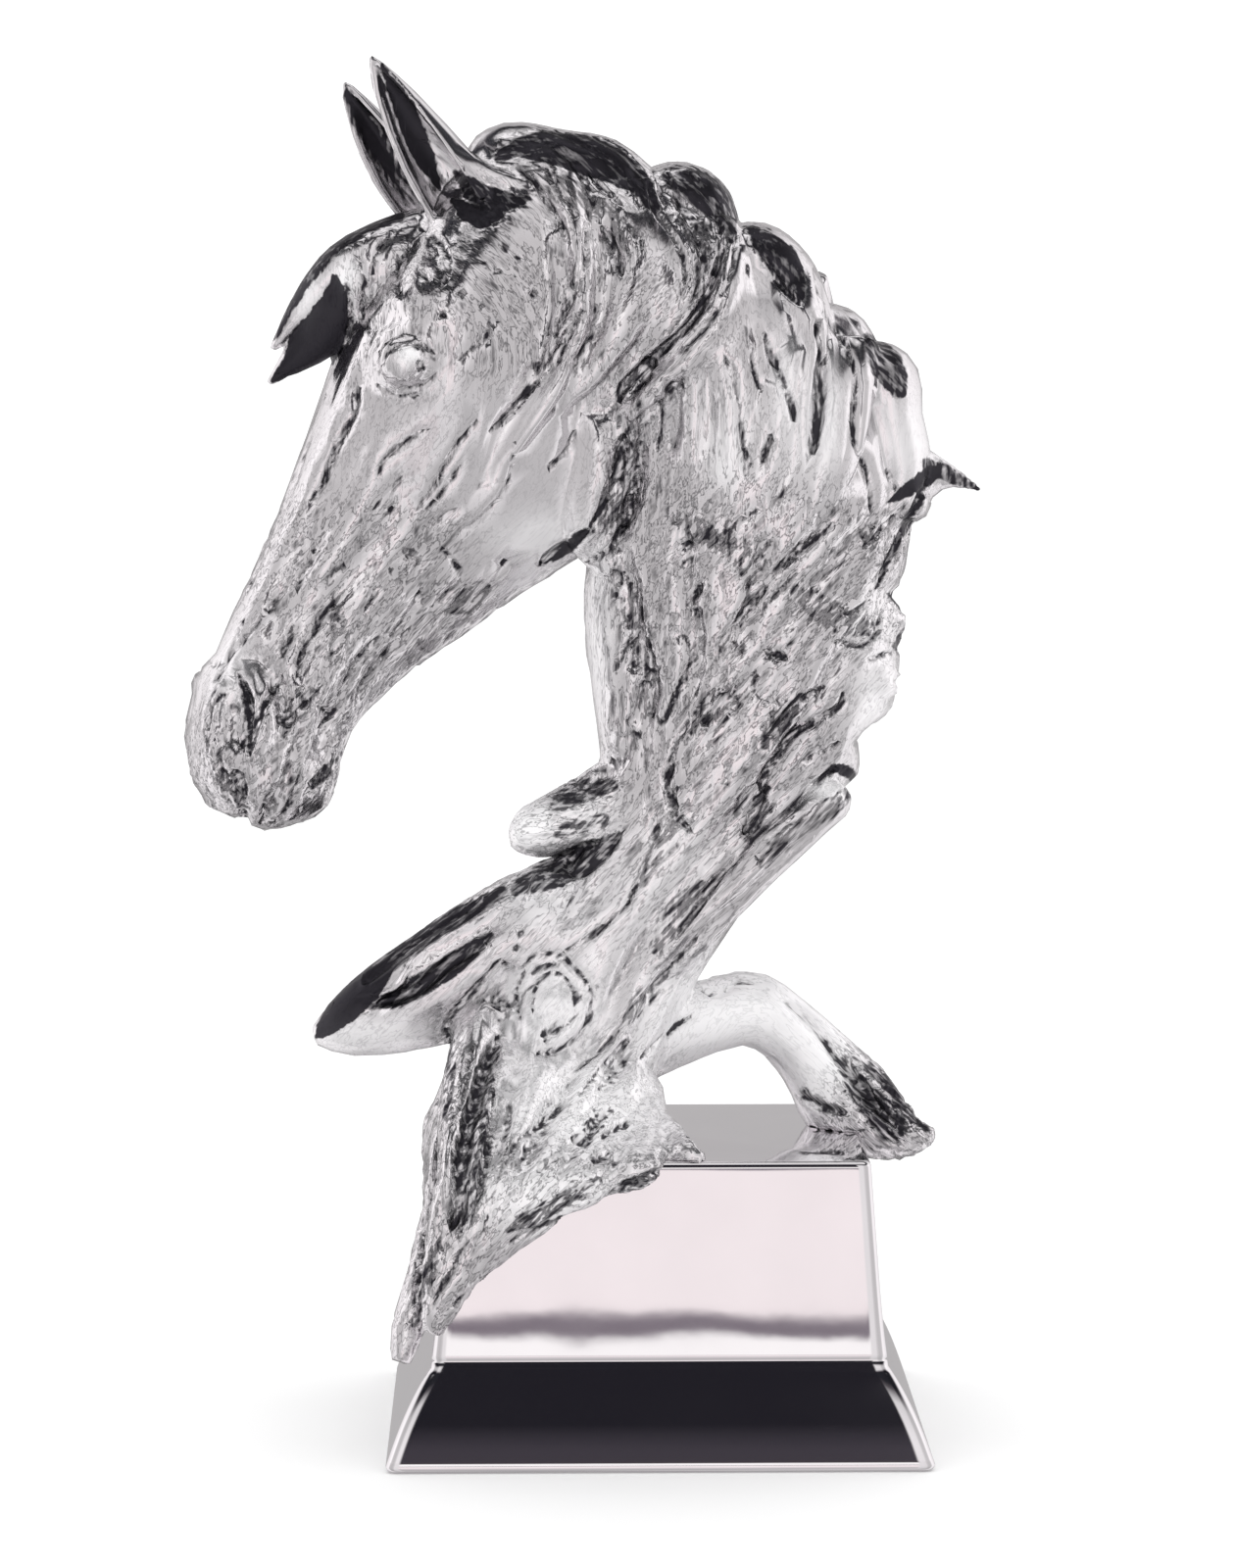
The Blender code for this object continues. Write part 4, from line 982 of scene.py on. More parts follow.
# Fine cuts as they show in the picture, in its pixels: half-width, depth in parts, path
FINE_CUTS: tuple[tuple[float, float, Rows], ...] = (
    # The bridge of the nose, and the long lines down to the nostril
    (4, 1.0, ((365, 395), (361, 420), (343, 457), (328, 494), (315, 512))),
    (3, 0.7, ((332, 402), (320, 428), (306, 472), (298, 502))),
    (3, 0.8, ((291, 602), (272, 624), (254, 646), (235, 668), (221, 694), (211, 724), (210, 757))),
    (3, 0.6, ((248, 631), (236, 661), (221, 679), (209, 672))),
    (4, 1.0, ((299, 637), (293, 652), (287, 670))),
    (4, 1.0, ((345, 605), (322, 640), (307, 670), (302, 690))),
    (3, 0.7, ((268, 560), (256, 590), (240, 622))),
    (3, 0.7, ((330, 560), (312, 580), (300, 604))),
    (3, 0.6, ((352, 575), (335, 592), (322, 600))),
    (3, 0.7, ((385, 600), (374, 622), (364, 640))),
    (3, 0.7, ((430, 600), (416, 630), (398, 650))),
    (3, 0.6, ((452, 560), (470, 590), (440, 620))),
    (3, 0.8, ((387, 650), (365, 672), (350, 705), (343, 724), (320, 746))),
    (3.5, 1.0, ((287, 688), (270, 716), (258, 746), (254, 772))),
    (3, 0.7, ((420, 640), (392, 668), (372, 694), (362, 720))),
    # Grooves of the cheek
    (3, 0.8, ((487, 428), (478, 440), (461, 461), (439, 502), (424, 520))),
    (3, 0.7, ((439, 435), (409, 454), (391, 472), (387, 487))),
    (3, 0.7, ((470, 474), (455, 498), (435, 519))),
    (3, 0.6, ((412, 485), (394, 505), (380, 520))),
    (3, 0.6, ((524, 450), (520, 487), (502, 517), (476, 539), (466, 547))),
    (2.6, 0.5, ((402, 516), (392, 528))),
    (3.5, 1.0, ((586, 440), (577, 462), (563, 474), (560, 482))),
    (4, 0.9, ((594, 317), (572, 354), (550, 387), (524, 417), (500, 441))),
    (3, 0.7, ((509, 327), (490, 349), (467, 368))),
    # The jaw's edge and the throat
    (7, 1.8, ((636, 446), (632, 480), (618, 512), (606, 538))),
    (6, 1.6, ((600, 541), (586, 553), (570, 562), (552, 574))),
    (4, 1.2, ((517, 572), (512, 578))),
    (3.5, 1.0, ((645, 500), (640, 530), (618, 562), (598, 574))),
    # Nostril, lips and chin
    (4, 1.8, ((243, 688), (250, 705), (254, 724), (250, 750), (243, 763))),
    (3, 0.9, ((212, 744), (214, 724), (224, 712), (232, 708))),
    (3.5, 1.0, ((226, 760), (222, 778), (230, 796), (244, 812))),
    (3, 0.8, ((232, 786), (244, 790), (250, 806), (246, 818))),
    (3.5, 1.0, ((306, 792), (300, 812), (288, 834), (276, 842))),
    (4, 1.2, ((334, 782), (326, 796), (316, 800))),
    (3, 0.8, ((282, 800), (272, 818), (268, 828))),
    (4, 1.2, ((314, 716), (304, 730), (292, 736), (282, 732))),
    (3, 0.8, ((330, 700), (322, 716), (336, 730))),
    # Eye and brow
    (2.6, 0.6, ((388, 372), (396, 358), (412, 350), (430, 352), (444, 362))),
    (2.4, 0.5, ((386, 378), (398, 390), (416, 396), (434, 392), (446, 380))),
    (2.4, 0.4, ((380, 360), (392, 346), (412, 338), (434, 340))),
    (2.4, 0.4, ((384, 392), (404, 404), (428, 404))),
    (4.5, 1.3, ((427, 368), (431, 376))),
    (3, 0.8, ((419, 250), (407, 263), (403, 285), (410, 301))),
    (3, 0.8, ((429, 234), (451, 250), (458, 275), (450, 292))),
    (3, 0.7, ((400, 236), (384, 256), (380, 282))),
    (3, 0.7, ((363, 262), (372, 288), (368, 318), (376, 340))),
    (3, 0.6, ((352, 290), (358, 320), (354, 350))),
    # Locks of the mane
    (3.5, 1.0, ((598, 228), (595, 272), (579, 311), (566, 342))),
    (5, 1.2, ((614, 232), (627, 256), (633, 281))),
    (3, 0.8, ((540, 176), (556, 202), (572, 230), (580, 250))),
    (3, 0.8, ((556, 172), (572, 198), (588, 222))),
    (3, 0.8, ((566, 148), (598, 170), (611, 189), (636, 209))),
    (3, 0.7, ((580, 140), (620, 160), (644, 190), (652, 214))),
    (3, 0.7, ((536, 142), (570, 152), (600, 190), (606, 220))),
    (3, 0.7, ((604, 138), (640, 158), (660, 186))),
    (3.5, 1.0, ((662, 180), (668, 212), (690, 246), (699, 276), (694, 300))),
    (3, 0.8, ((680, 176), (694, 210), (712, 244), (716, 280))),
    (3, 0.8, ((704, 176), (724, 206), (734, 240), (728, 280))),
    (4, 1.2, ((738, 253), (719, 301), (700, 333), (662, 368), (636, 394), (630, 413))),
    (3, 0.8, ((752, 240), (742, 286), (728, 322), (700, 352))),
    (3, 0.8, ((722, 270), (706, 310), (680, 342))),
    (4, 1.3, ((779, 339), (791, 374), (807, 411), (810, 430))),
    (3, 0.8, ((738, 361), (748, 393), (757, 436), (758, 460))),
    (3, 0.8, ((763, 333), (766, 368), (776, 402))),
    (4, 1.2, ((786, 444), (782, 458), (777, 473))),
    (3.5, 1.0, ((760, 456), (763, 477), (758, 486))),
    (3, 0.8, ((697, 371), (694, 396))),
    (3, 0.8, ((666, 402), (676, 427), (669, 462))),
    (3, 0.7, ((650, 410), (654, 440), (650, 470))),
    (7, 2.0, ((834, 328), (838, 366), (836, 410), (828, 462))),
    (3, 0.9, ((779, 261), (798, 293), (816, 311))),
    (3, 0.9, ((829, 271), (841, 318), (860, 349), (872, 386), (869, 443), (885, 483), (888, 521))),
    (3, 0.8, ((848, 299), (873, 330), (884, 345))),
    (3, 0.8, ((904, 478), (908, 490), (914, 500))),
    (4, 1.2, ((946, 490), (932, 521), (913, 561), (898, 593))),
    (3, 0.8, ((926, 512), (900, 540), (880, 560))),
    # Neck
    (3.4, 0.9, ((848, 533), (819, 558), (791, 583), (766, 618), (739, 652), (733, 674))),
    (3, 0.8, ((818, 576), (798, 600), (774, 630))),
    (3, 0.8, ((779, 518), (754, 530), (741, 555))),
    (4, 1.2, ((714, 596), (703, 618))),
    (3.4, 1.0, ((649, 649), (634, 667), (626, 684))),
    (3, 0.9, ((688, 649), (703, 654), (707, 670), (700, 688), (688, 713), (675, 736), (662, 728))),
    (3.4, 0.9, ((728, 703), (713, 723), (698, 744), (688, 764), (682, 779))),
    (7, 1.4, ((742, 710), (730, 724), (716, 738))),
    (4, 1.2, ((780, 664), (792, 668), (804, 673))),
    (3, 0.8, ((770, 684), (768, 704), (776, 714))),
    (3.6, 1.1, ((843, 700), (815, 716), (800, 731), (784, 752))),
    (4.4, 1.4, ((861, 706), (858, 721), (841, 731), (825, 739), (807, 751), (797, 767), (782, 787),
                (777, 808))),
    (3, 0.9, ((858, 757), (836, 769), (816, 780))),
    (6, 1.6, ((778, 812), (768, 830), (760, 850))),
    (4, 1.2, ((853, 784), (838, 795), (810, 820), (790, 838), (772, 851), (749, 879), (726, 902), (708, 930),
              (690, 956))),
    (4, 1.4, ((685, 780), (680, 800), (685, 815), (690, 833), (705, 848))),
    (3.4, 1.0, ((672, 825), (667, 853), (659, 874), (649, 902), (639, 924))),
    (4, 1.4, ((634, 846), (621, 866), (611, 881), (592, 892), (580, 883), (592, 866), (611, 858))),
    (3, 0.9, ((856, 619), (866, 627), (889, 612))),
    (3, 0.9, ((898, 630), (892, 650), (876, 660), (850, 654))),
    (3.4, 1.1, ((921, 636), (915, 660), (918, 682))),
    (3, 0.9, ((886, 674), (900, 668), (917, 666))),
    # The lower trunk: knot, cleft and flow lines
    (4, 1.2, ((511, 978), (488, 1006), (465, 1029), (453, 1047), (459, 1063))),
    (8, 1.4, ((508, 1058), (494, 1090), (484, 1122), (474, 1156), (468, 1190), (470, 1224), (462, 1252))),
    (3.4, 1.0, ((482, 1066), (476, 1098), (468, 1132))),
    (3, 0.9, ((530, 1040), (526, 1012), (540, 980), (568, 974), (591, 994), (603, 1018), (597, 1048),
              (574, 1070),
              (548, 1075))),
    (2.6, 0.7, ((542, 1034), (546, 1006), (566, 992), (584, 1010), (586, 1036), (566, 1052))),
    (5, 1.4, ((552, 1056), (562, 1050), (572, 1046))),
    (3.6, 1.1, ((541, 996), (552, 988), (568, 984))),
    (3, 0.9, ((643, 920), (611, 949), (574, 972))),
    (3, 0.9, ((712, 955), (683, 989), (649, 1024), (626, 1058), (586, 1093))),
    (3, 0.9, ((706, 1035), (686, 1050), (654, 1080))),
    (3.4, 1.0, ((640, 1060), (620, 1084), (591, 1116), (568, 1133), (548, 1150), (528, 1164), (515, 1188))),
    (4.4, 1.4, ((642, 1146), (626, 1152), (611, 1160))),
    (4.4, 1.4, ((614, 1136), (604, 1152), (597, 1166), (584, 1161))),
    (3, 0.9, ((623, 1176), (603, 1186))),
    (3, 0.9, ((568, 1182), (548, 1195))),
    (4, 1.2, ((712, 1183), (690, 1190), (668, 1198), (640, 1208), (620, 1222))),
    (4, 1.2, ((606, 1206), (580, 1222), (550, 1238), (522, 1252))),
    (3.4, 1.0, ((611, 1243), (583, 1243), (548, 1254), (520, 1268))),
    (3.4, 1.0, ((556, 1270), (522, 1286), (496, 1306), (460, 1336))),
    (3, 0.9, ((503, 1110), (500, 1150), (492, 1200), (480, 1250), (462, 1290), (440, 1330))),
    (3, 0.8, ((520, 1120), (516, 1160), (506, 1210), (492, 1260))),
    (3.4, 1.0, ((448, 1150), (446, 1190), (436, 1240), (428, 1290), (422, 1330))),
    # Left limb
    (2.6, -0.9, ((376, 1016), (405, 1006), (422, 980), (448, 961), (482, 940), (508, 924))),
    (6, 1.3, ((386, 1024), (425, 1010), (459, 983), (494, 963))),
    (6, 1.2, ((372, 1002), (405, 974), (445, 944), (490, 918))),
    # Arched root
    (3, 0.9, ((716, 1010), (734, 1016), (752, 1002), (770, 1004))),
    (3.4, 1.0, ((800, 1022), (828, 1046), (850, 1076), (872, 1104))),
    (5, 1.4, ((858, 1076), (872, 1100), (892, 1126), (914, 1150))),
    (4, 1.3, ((880, 1078), (900, 1100), (926, 1128))),
    (4, 1.2, ((886, 1140), (902, 1160), (922, 1166))),
    (4, 1.2, ((812, 1116), (834, 1128), (862, 1136))),
)
# Small pits, in the picture's pixels: place and radius
PITS: Rows = (
    (647, 679, 6), (643, 736, 5), (616, 764, 5), (631, 593, 4), (626, 607, 4), (650, 749, 4), (634, 754, 4),
    (434, 283, 5), (452, 322, 4), (470, 300, 4), (492, 312, 4), (508, 276, 4), (530, 262, 4), (545, 300, 4),
    (500, 330, 4), (320, 562, 4), (346, 634, 5), (340, 662, 5), (431, 612, 6), (417, 566, 5), (612, 1009, 5),
    (530, 952, 4), (526, 968, 4), (514, 986, 4), (566, 1052, 5), (557, 1060, 4), (690, 806, 5), (628, 586, 4),
)
# Cuts that go round the rim too: half-width in pixels, depth in parts, path in the picture
RIM_CUTS: tuple[tuple[float, float, Rows], ...] = (
    (6, 2.0, ((246, 848), (248, 830), (250, 814))),
    (12, -2.4, ((199, 690), (206, 676), (216, 664))),
    (5, 1.2, ((352, 742), (338, 752), (326, 764))),
    (17, 7.5, ((918, 752), (894, 764), (868, 776))),
    (14, -3.2, ((937, 512), (931, 523), (925, 534))),
    (7, 1.6, ((930, 612), (914, 606), (900, 604))),
    (6, 1.4, ((930, 700), (914, 694), (896, 690))),
    (5, 1.2, ((936, 655), (922, 660), (910, 668))),
    (6, 1.4, ((590, 800), (606, 796), (616, 790))),
)
# Painted dark reflections and painted shade on the plate: strength, then (x, y, half-width) in the picture
DARK_REFLECTIONS_AND_SHADE: tuple[tuple[float, Rows], ...] = (
    # Forelock: the inner facet down to its tip, and its top edge
    (1.0, ((341, 284, 4), (341, 304, 14), (334, 328, 21), (322, 350, 27), (307, 369, 22), (291, 381, 11),
           (278, 388, 3))),
    (0.85, ((408, 222, 5), (380, 227, 9), (356, 237, 11), (336, 254, 10), (319, 277, 7), (305, 299, 5),
            (291, 323, 4),
            (280, 346, 3))),
    # Hollow of the near ear's root
    (0.86, ((464, 176, 4), (478, 190, 10), (497, 203, 14), (518, 206, 10), (540, 203, 3))),
    (1.0, ((462, 204, 4), (476, 216, 10), (492, 224, 9), (508, 218, 6))),
    # Crest tops
    (0.86, ((508, 160, 5), (534, 150, 12), (568, 152, 18), (610, 163, 20), (648, 184, 14), (668, 212, 6))),
    (0.42, ((530, 172, 6), (570, 192, 15), (612, 216, 15), (640, 250, 8))),
    (0.8, ((676, 180, 4), (702, 186, 14), (722, 198, 18), (738, 218, 15), (746, 242, 6))),
    (0.6, ((690, 196, 8), (706, 226, 13), (716, 262, 9), (712, 300, 5))),
    # Dark lines along the locks
    (0.55, ((590, 262, 2), (580, 300, 3.5), (572, 332, 3.5), (560, 360, 3.5), (540, 392, 3), (516, 424, 2))),
    (0.6, ((742, 250, 2), (730, 290, 4), (710, 324, 5), (682, 352, 5), (656, 376, 4), (636, 400, 3))),
    (0.85, ((762, 232, 3), (782, 250, 13), (800, 268, 16), (814, 290, 9), (816, 306, 3))),
    (0.7, ((790, 270, 8), (800, 288, 9), (808, 306, 4))),
    (0.75, ((882, 342, 3), (894, 356, 12), (906, 376, 17), (917, 396, 10))),
    # Right side under the thorn
    (0.7, ((946, 474, 7), (962, 482, 8), (984, 492, 5), (1000, 498, 3))),
    (0.95, ((952, 482, 8), (936, 494, 9), (920, 504, 6), (908, 512, 3))),
    (0.8, ((940, 508, 4), (926, 530, 5), (912, 558, 4), (902, 580, 4), (893, 600, 2))),
    (0.9, ((906, 606, 3), (914, 612, 5), (922, 622, 3))),
    (0.8, ((926, 636, 4), (920, 650, 5), (912, 660, 3))),
    (0.45, ((876, 530, 4), (884, 545, 8), (892, 560, 5))),
    # Jaw, throat and muzzle
    (1.0, ((598, 542, 3), (590, 548, 6), (577, 561, 5.5), (563, 570, 2.5), (550, 577, 1.8))),
    (1.0, ((619, 510, 2.5), (612, 520, 3.2), (605, 530, 3), (602, 537, 2))),
    (0.5, ((642, 436, 6), (638, 470, 13), (632, 504, 13), (618, 532, 10), (604, 552, 6))),
    (0.9, ((242, 688, 1), (248, 704, 3), (252, 722, 5), (253, 738, 3), (250, 752, 1))),
    (0.75, ((286, 696, 1), (276, 710, 3), (266, 728, 4), (258, 746, 4), (254, 764, 2))),
    (0.45, ((222, 786, 6), (236, 804, 11), (246, 822, 6))),
    (0.4, ((207, 736, 1), (211, 764, 3), (219, 786, 4), (232, 808, 4))),
    (0.6, ((340, 772, 4), (332, 788, 6), (318, 800, 5))),
    (0.45, ((456, 622, 5), (474, 614, 12), (494, 600, 8))),
    (0.35, ((340, 630, 6), (346, 650, 9), (338, 676, 6))),
    (0.5, ((318, 706, 5), (306, 722, 9), (292, 738, 6))),
    (0.8, ((429, 369, 1), (430, 374, 3), (427, 379, 2))),
    (0.5, ((387, 380, 1), (395, 363, 2), (412, 354, 2), (430, 357, 2), (443, 367, 1))),
    (0.5, ((385, 394, 1), (402, 403, 2), (424, 401, 2), (441, 388, 1))),
    # Neck
    (0.42, ((740, 536, 8), (752, 562, 13), (766, 590, 8))),
    (0.42, ((692, 530, 8), (714, 542, 13), (736, 556, 8))),
    (0.4, ((812, 604, 7), (836, 620, 14), (862, 634, 15), (892, 642, 8))),
    (0.38, ((630, 588, 7), (646, 620, 13), (654, 656, 12), (664, 690, 7))),
    (0.5, ((744, 704, 5), (730, 722, 11), (706, 742, 7))),
    (0.58, ((816, 712, 5), (800, 732, 11), (780, 758, 7))),
    (0.6, ((782, 806, 5), (772, 832, 9), (758, 854, 5))),
    (0.95, ((838, 791, 2), (852, 784, 5), (866, 789, 6), (871, 800, 3))),
    (0.5, ((862, 812, 8), (838, 830, 11), (806, 852, 10), (780, 880, 7))),
    (0.5, ((716, 905, 7), (692, 930, 15), (670, 966, 9))),
    (0.45, ((676, 996, 5), (656, 1018, 11), (640, 1040, 6))),
    (0.4, ((690, 838, 5), (672, 868, 8), (654, 902, 5))),
    # The stub on the left, speckled at its root
    (0.62, ((562, 828, 5), (578, 814, 11), (600, 806, 12), (624, 802, 7))),
    (0.6, ((568, 852, 5), (588, 842, 9), (614, 838, 8))),
    # Left limb: its tip, and the dark sides of its ridge
    (1.0, ((323, 1057, 3), (336, 1044, 12), (354, 1026, 17), (374, 1006, 16), (392, 990, 9))),
    (0.8, ((372, 1000, 9), (402, 978, 11), (440, 950, 11), (484, 926, 9), (512, 910, 6))),
    (0.75, ((526, 908, 7), (556, 894, 15), (594, 876, 16), (628, 858, 8))),
    (0.78, ((378, 1026, 6), (406, 1018, 10), (440, 998, 12), (474, 974, 10), (500, 956, 5))),
    # Cleft and roots
    (0.62, ((506, 1070, 5), (496, 1100, 8), (488, 1130, 12), (484, 1164, 14), (480, 1200, 15),
            (474, 1232, 10),
            (462, 1256, 4))),
    (0.5, ((460, 1062, 4), (458, 1100, 6), (456, 1140, 5))),
    (0.5, ((448, 1264, 4), (440, 1290, 7), (430, 1320, 7), (422, 1350, 5))),
    (0.5, ((610, 1204, 5), (580, 1222, 9), (548, 1240, 9), (520, 1252, 6))),
    (0.5, ((684, 1190, 4), (660, 1202, 7), (636, 1214, 6))),
    (0.6, ((622, 1134, 5), (604, 1150, 9), (586, 1164, 5))),
    (0.5, ((540, 1282, 4), (512, 1300, 7), (484, 1322, 6))),
    # Arched root's outer end
    (0.7, ((850, 1072, 3), (866, 1094, 10), (888, 1124, 15), (914, 1150, 12))),
    (0.7, ((884, 1088, 4), (904, 1108, 10), (926, 1132, 8), (944, 1152, 4))),
    (0.45, ((816, 1110, 4), (834, 1126, 8), (856, 1136, 6))),
)
# Painted dark reflections in the hollows of the near and of the far ear, in the same manner
NEAR_EAR_DARK_REFLECTION: Rows = ((389, 66, 2), (395, 79, 5), (404, 96, 9), (413, 114, 11), (421, 134, 12),
                        (431, 157, 11),
                        (441, 178, 7), (449, 192, 2))
FAR_EAR_DARK_REFLECTION: Rows = ((352, 89, 2), (360, 104, 6), (371, 124, 10), (381, 143, 12), (392, 162, 12),
                       (403, 181, 9),
                       (412, 196, 6), (418, 206, 2))
# Satin places with a painted highlight, in the picture's pixels: place, reach sideways and up, amount
SATIN_AND_HIGHLIGHT_PLACES: Rows = (
    (750, 1035, 95, 60, 1.0), (835, 1080, 44, 56, 1.0), (690, 1060, 50, 60, 0.8),
    (565, 1030, 60, 60, 0.65), (600, 1130, 95, 60, 0.85), (560, 1215, 90, 45, 0.7),
    (540, 840, 32, 30, 1.0), (590, 835, 50, 30, 0.5), (935, 450, 34, 44, 0.5), (556, 546, 56, 26, 0.5),
    (417, 362, 12, 9, 0.9), (846, 806, 26, 12, 0.7), (900, 720, 34, 70, 0.55), (895, 640, 34, 40, 0.4),
    (606, 650, 18, 110, 0.6), (560, 920, 60, 40, 0.5), (380, 1060, 80, 24, 0.6),
    (230, 680, 24, 40, 0.3), (820, 440, 40, 60, 0.35), (745, 440, 40, 50, 0.3), (354, 282, 14, 18, 0.9),
    (314, 308, 14, 34, 0.6), (740, 470, 20, 30, 0.6), (640, 930, 60, 70, 0.35), (800, 395, 12, 46, 0.6),
    (845, 430, 14, 60, 0.6), (690, 870, 40, 40, 0.35), (480, 780, 60, 60, 0.3),
)
# Directions in which hair and wood run, in the picture's pixels
FLOWS: tuple[Rows, ...] = (
    ((345, 400), (305, 500), (235, 670), (205, 760)),
    ((430, 420), (380, 530), (305, 670), (262, 790)),
    ((520, 430), (480, 530), (400, 640), (310, 770)),
    ((600, 545), (520, 600), (400, 690), (330, 800)),
    ((345, 255), (362, 330), (350, 400)),
    ((400, 215), (330, 235), (290, 330), (280, 385)),
    ((450, 240), (520, 300), (560, 370), (540, 420)),
    ((500, 150), (560, 165), (600, 230), (588, 320), (520, 430)),
    ((590, 130), (660, 170), (690, 250), (640, 330), (620, 400)),
    ((680, 170), (730, 230), (722, 320), (640, 395)),
    ((760, 210), (800, 290), (790, 380), (760, 480)),
    ((820, 260), (850, 340), (840, 440), (810, 520)),
    ((870, 330), (930, 400), (940, 480), (900, 560)),
    ((660, 410), (640, 480), (610, 580), (604, 700), (625, 790)),
    ((740, 400), (740, 490), (690, 600), (660, 720), (650, 830)),
    ((930, 500), (850, 600), (760, 720), (690, 830), (600, 940), (530, 1030), (490, 1130), (466, 1250),
     (425, 1350)),
    ((900, 640), (840, 720), (790, 800), (700, 910), (620, 1030), (560, 1130), (500, 1220), (460, 1320)),
    ((860, 800), (790, 870), (700, 960), (640, 1060), (560, 1160), (490, 1270)),
    ((630, 850), (510, 930), (400, 1010), (330, 1060)),
    ((650, 800), (580, 830), (520, 845)),
    ((660, 1130), (720, 1020), (780, 1008), (850, 1080), (940, 1160)),
    ((700, 1190), (620, 1210), (540, 1260), (450, 1340)),
    ((450, 1130), (440, 1240), (420, 1350)),
    ((400, 200), (380, 60)), ((545, 200), (385, 60)),
)
# How the skin is worked from place to place: the picture's (x, y), reach sideways and up, then how
# much long grain, fine grain, worm tracks and hair there is
GRAIN_PLACES: Rows = (
    (410, 130, 70, 80, 0.0, 0.0, 0.0, 0.02), (505, 200, 40, 30, 0.1, 0.1, 0.1, 0.0),
    (310, 310, 40, 70, 0.02, 0.02, 0.0, 0.08), (430, 270, 60, 42, 0.12, 0.12, 0.45, 0.0),
    (520, 290, 50, 60, 0.15, 0.12, 0.5, 0.0), (415, 366, 36, 26, 0.02, 0.02, 0.03, 0.0),
    (355, 335, 18, 45, 0.2, 0.2, 0.4, 0.0), (530, 480, 70, 58, 0.03, 0.02, 0.0, 0.0),
    (386, 332, 24, 34, 0.2, 0.2, 0.6, 0.0), (470, 330, 46, 34, 0.1, 0.15, 0.6, 0.0),
    (575, 535, 50, 28, 0.03, 0.02, 0.0, 0.0), (430, 450, 45, 60, 0.22, 0.06, 0.0, 0.0),
    (512, 562, 44, 22, 0.03, 0.02, 0.0, 0.0),
    (330, 450, 24, 60, 0.2, 0.05, 0.0, 0.0), (380, 550, 80, 26, 0.25, 0.25, 0.6, 0.0),
    (300, 640, 50, 50, 0.35, 0.15, 0.1, 0.0), (245, 660, 20, 36, 0.03, 0.03, 0.0, 0.0),
    (400, 655, 70, 45, 0.4, 0.2, 0.2, 0.0), (270, 800, 80, 36, 0.3, 0.3, 0.5, 0.0),
    (590, 170, 80, 45, 0.03, 0.03, 0.0, 0.3), (700, 220, 55, 50, 0.03, 0.03, 0.0, 0.28),
    (800, 270, 40, 40, 0.02, 0.02, 0.0, 0.1), (915, 380, 40, 60, 0.02, 0.02, 0.0, 0.03),
    (900, 460, 45, 45, 0.02, 0.02, 0.0, 0.0), (650, 300, 55, 60, 0.12, 0.12, 0.15, 0.35),
    (745, 430, 50, 55, 0.08, 0.05, 0.0, 0.3), (825, 390, 36, 80, 0.04, 0.03, 0.0, 0.08),
    (640, 480, 25, 60, 0.3, 0.25, 0.4, 0.0), (720, 530, 90, 36, 0.35, 0.35, 0.4, 0.0),
    (680, 640, 75, 90, 0.45, 0.4, 0.5, 0.0), (606, 660, 10, 90, 0.03, 0.05, 0.0, 0.0),
    (860, 590, 55, 60, 0.35, 0.3, 0.4, 0.0), (895, 690, 34, 45, 0.1, 0.1, 0.15, 0.0),
    (740, 780, 60, 65, 0.5, 0.35, 0.2, 0.0), (640, 870, 45, 55, 0.3, 0.15, 0.1, 0.0),
    (592, 824, 26, 24, 0.3, 0.3, 0.3, 0.0), (830, 850, 50, 45, 0.06, 0.05, 0.03, 0.0),
    (720, 940, 50, 70, 0.3, 0.15, 0.0, 0.0), (400, 1010, 75, 50, 0.06, 0.08, 0.05, 0.0),
    (530, 930, 45, 36, 0.25, 0.2, 0.1, 0.0), (565, 1030, 55, 60, 0.1, 0.08, 0.0, 0.0),
    (600, 1130, 80, 55, 0.25, 0.12, 0.1, 0.0), (462, 1200, 22, 120, 0.5, 0.3, 0.3, 0.0),
    (600, 1205, 90, 26, 0.3, 0.3, 0.6, 0.0), (740, 1045, 50, 40, 0.04, 0.05, 0.0, 0.0),
    (830, 1080, 28, 40, 0.04, 0.05, 0.0, 0.0), (905, 1115, 45, 50, 0.5, 0.4, 0.7, 0.0),
)


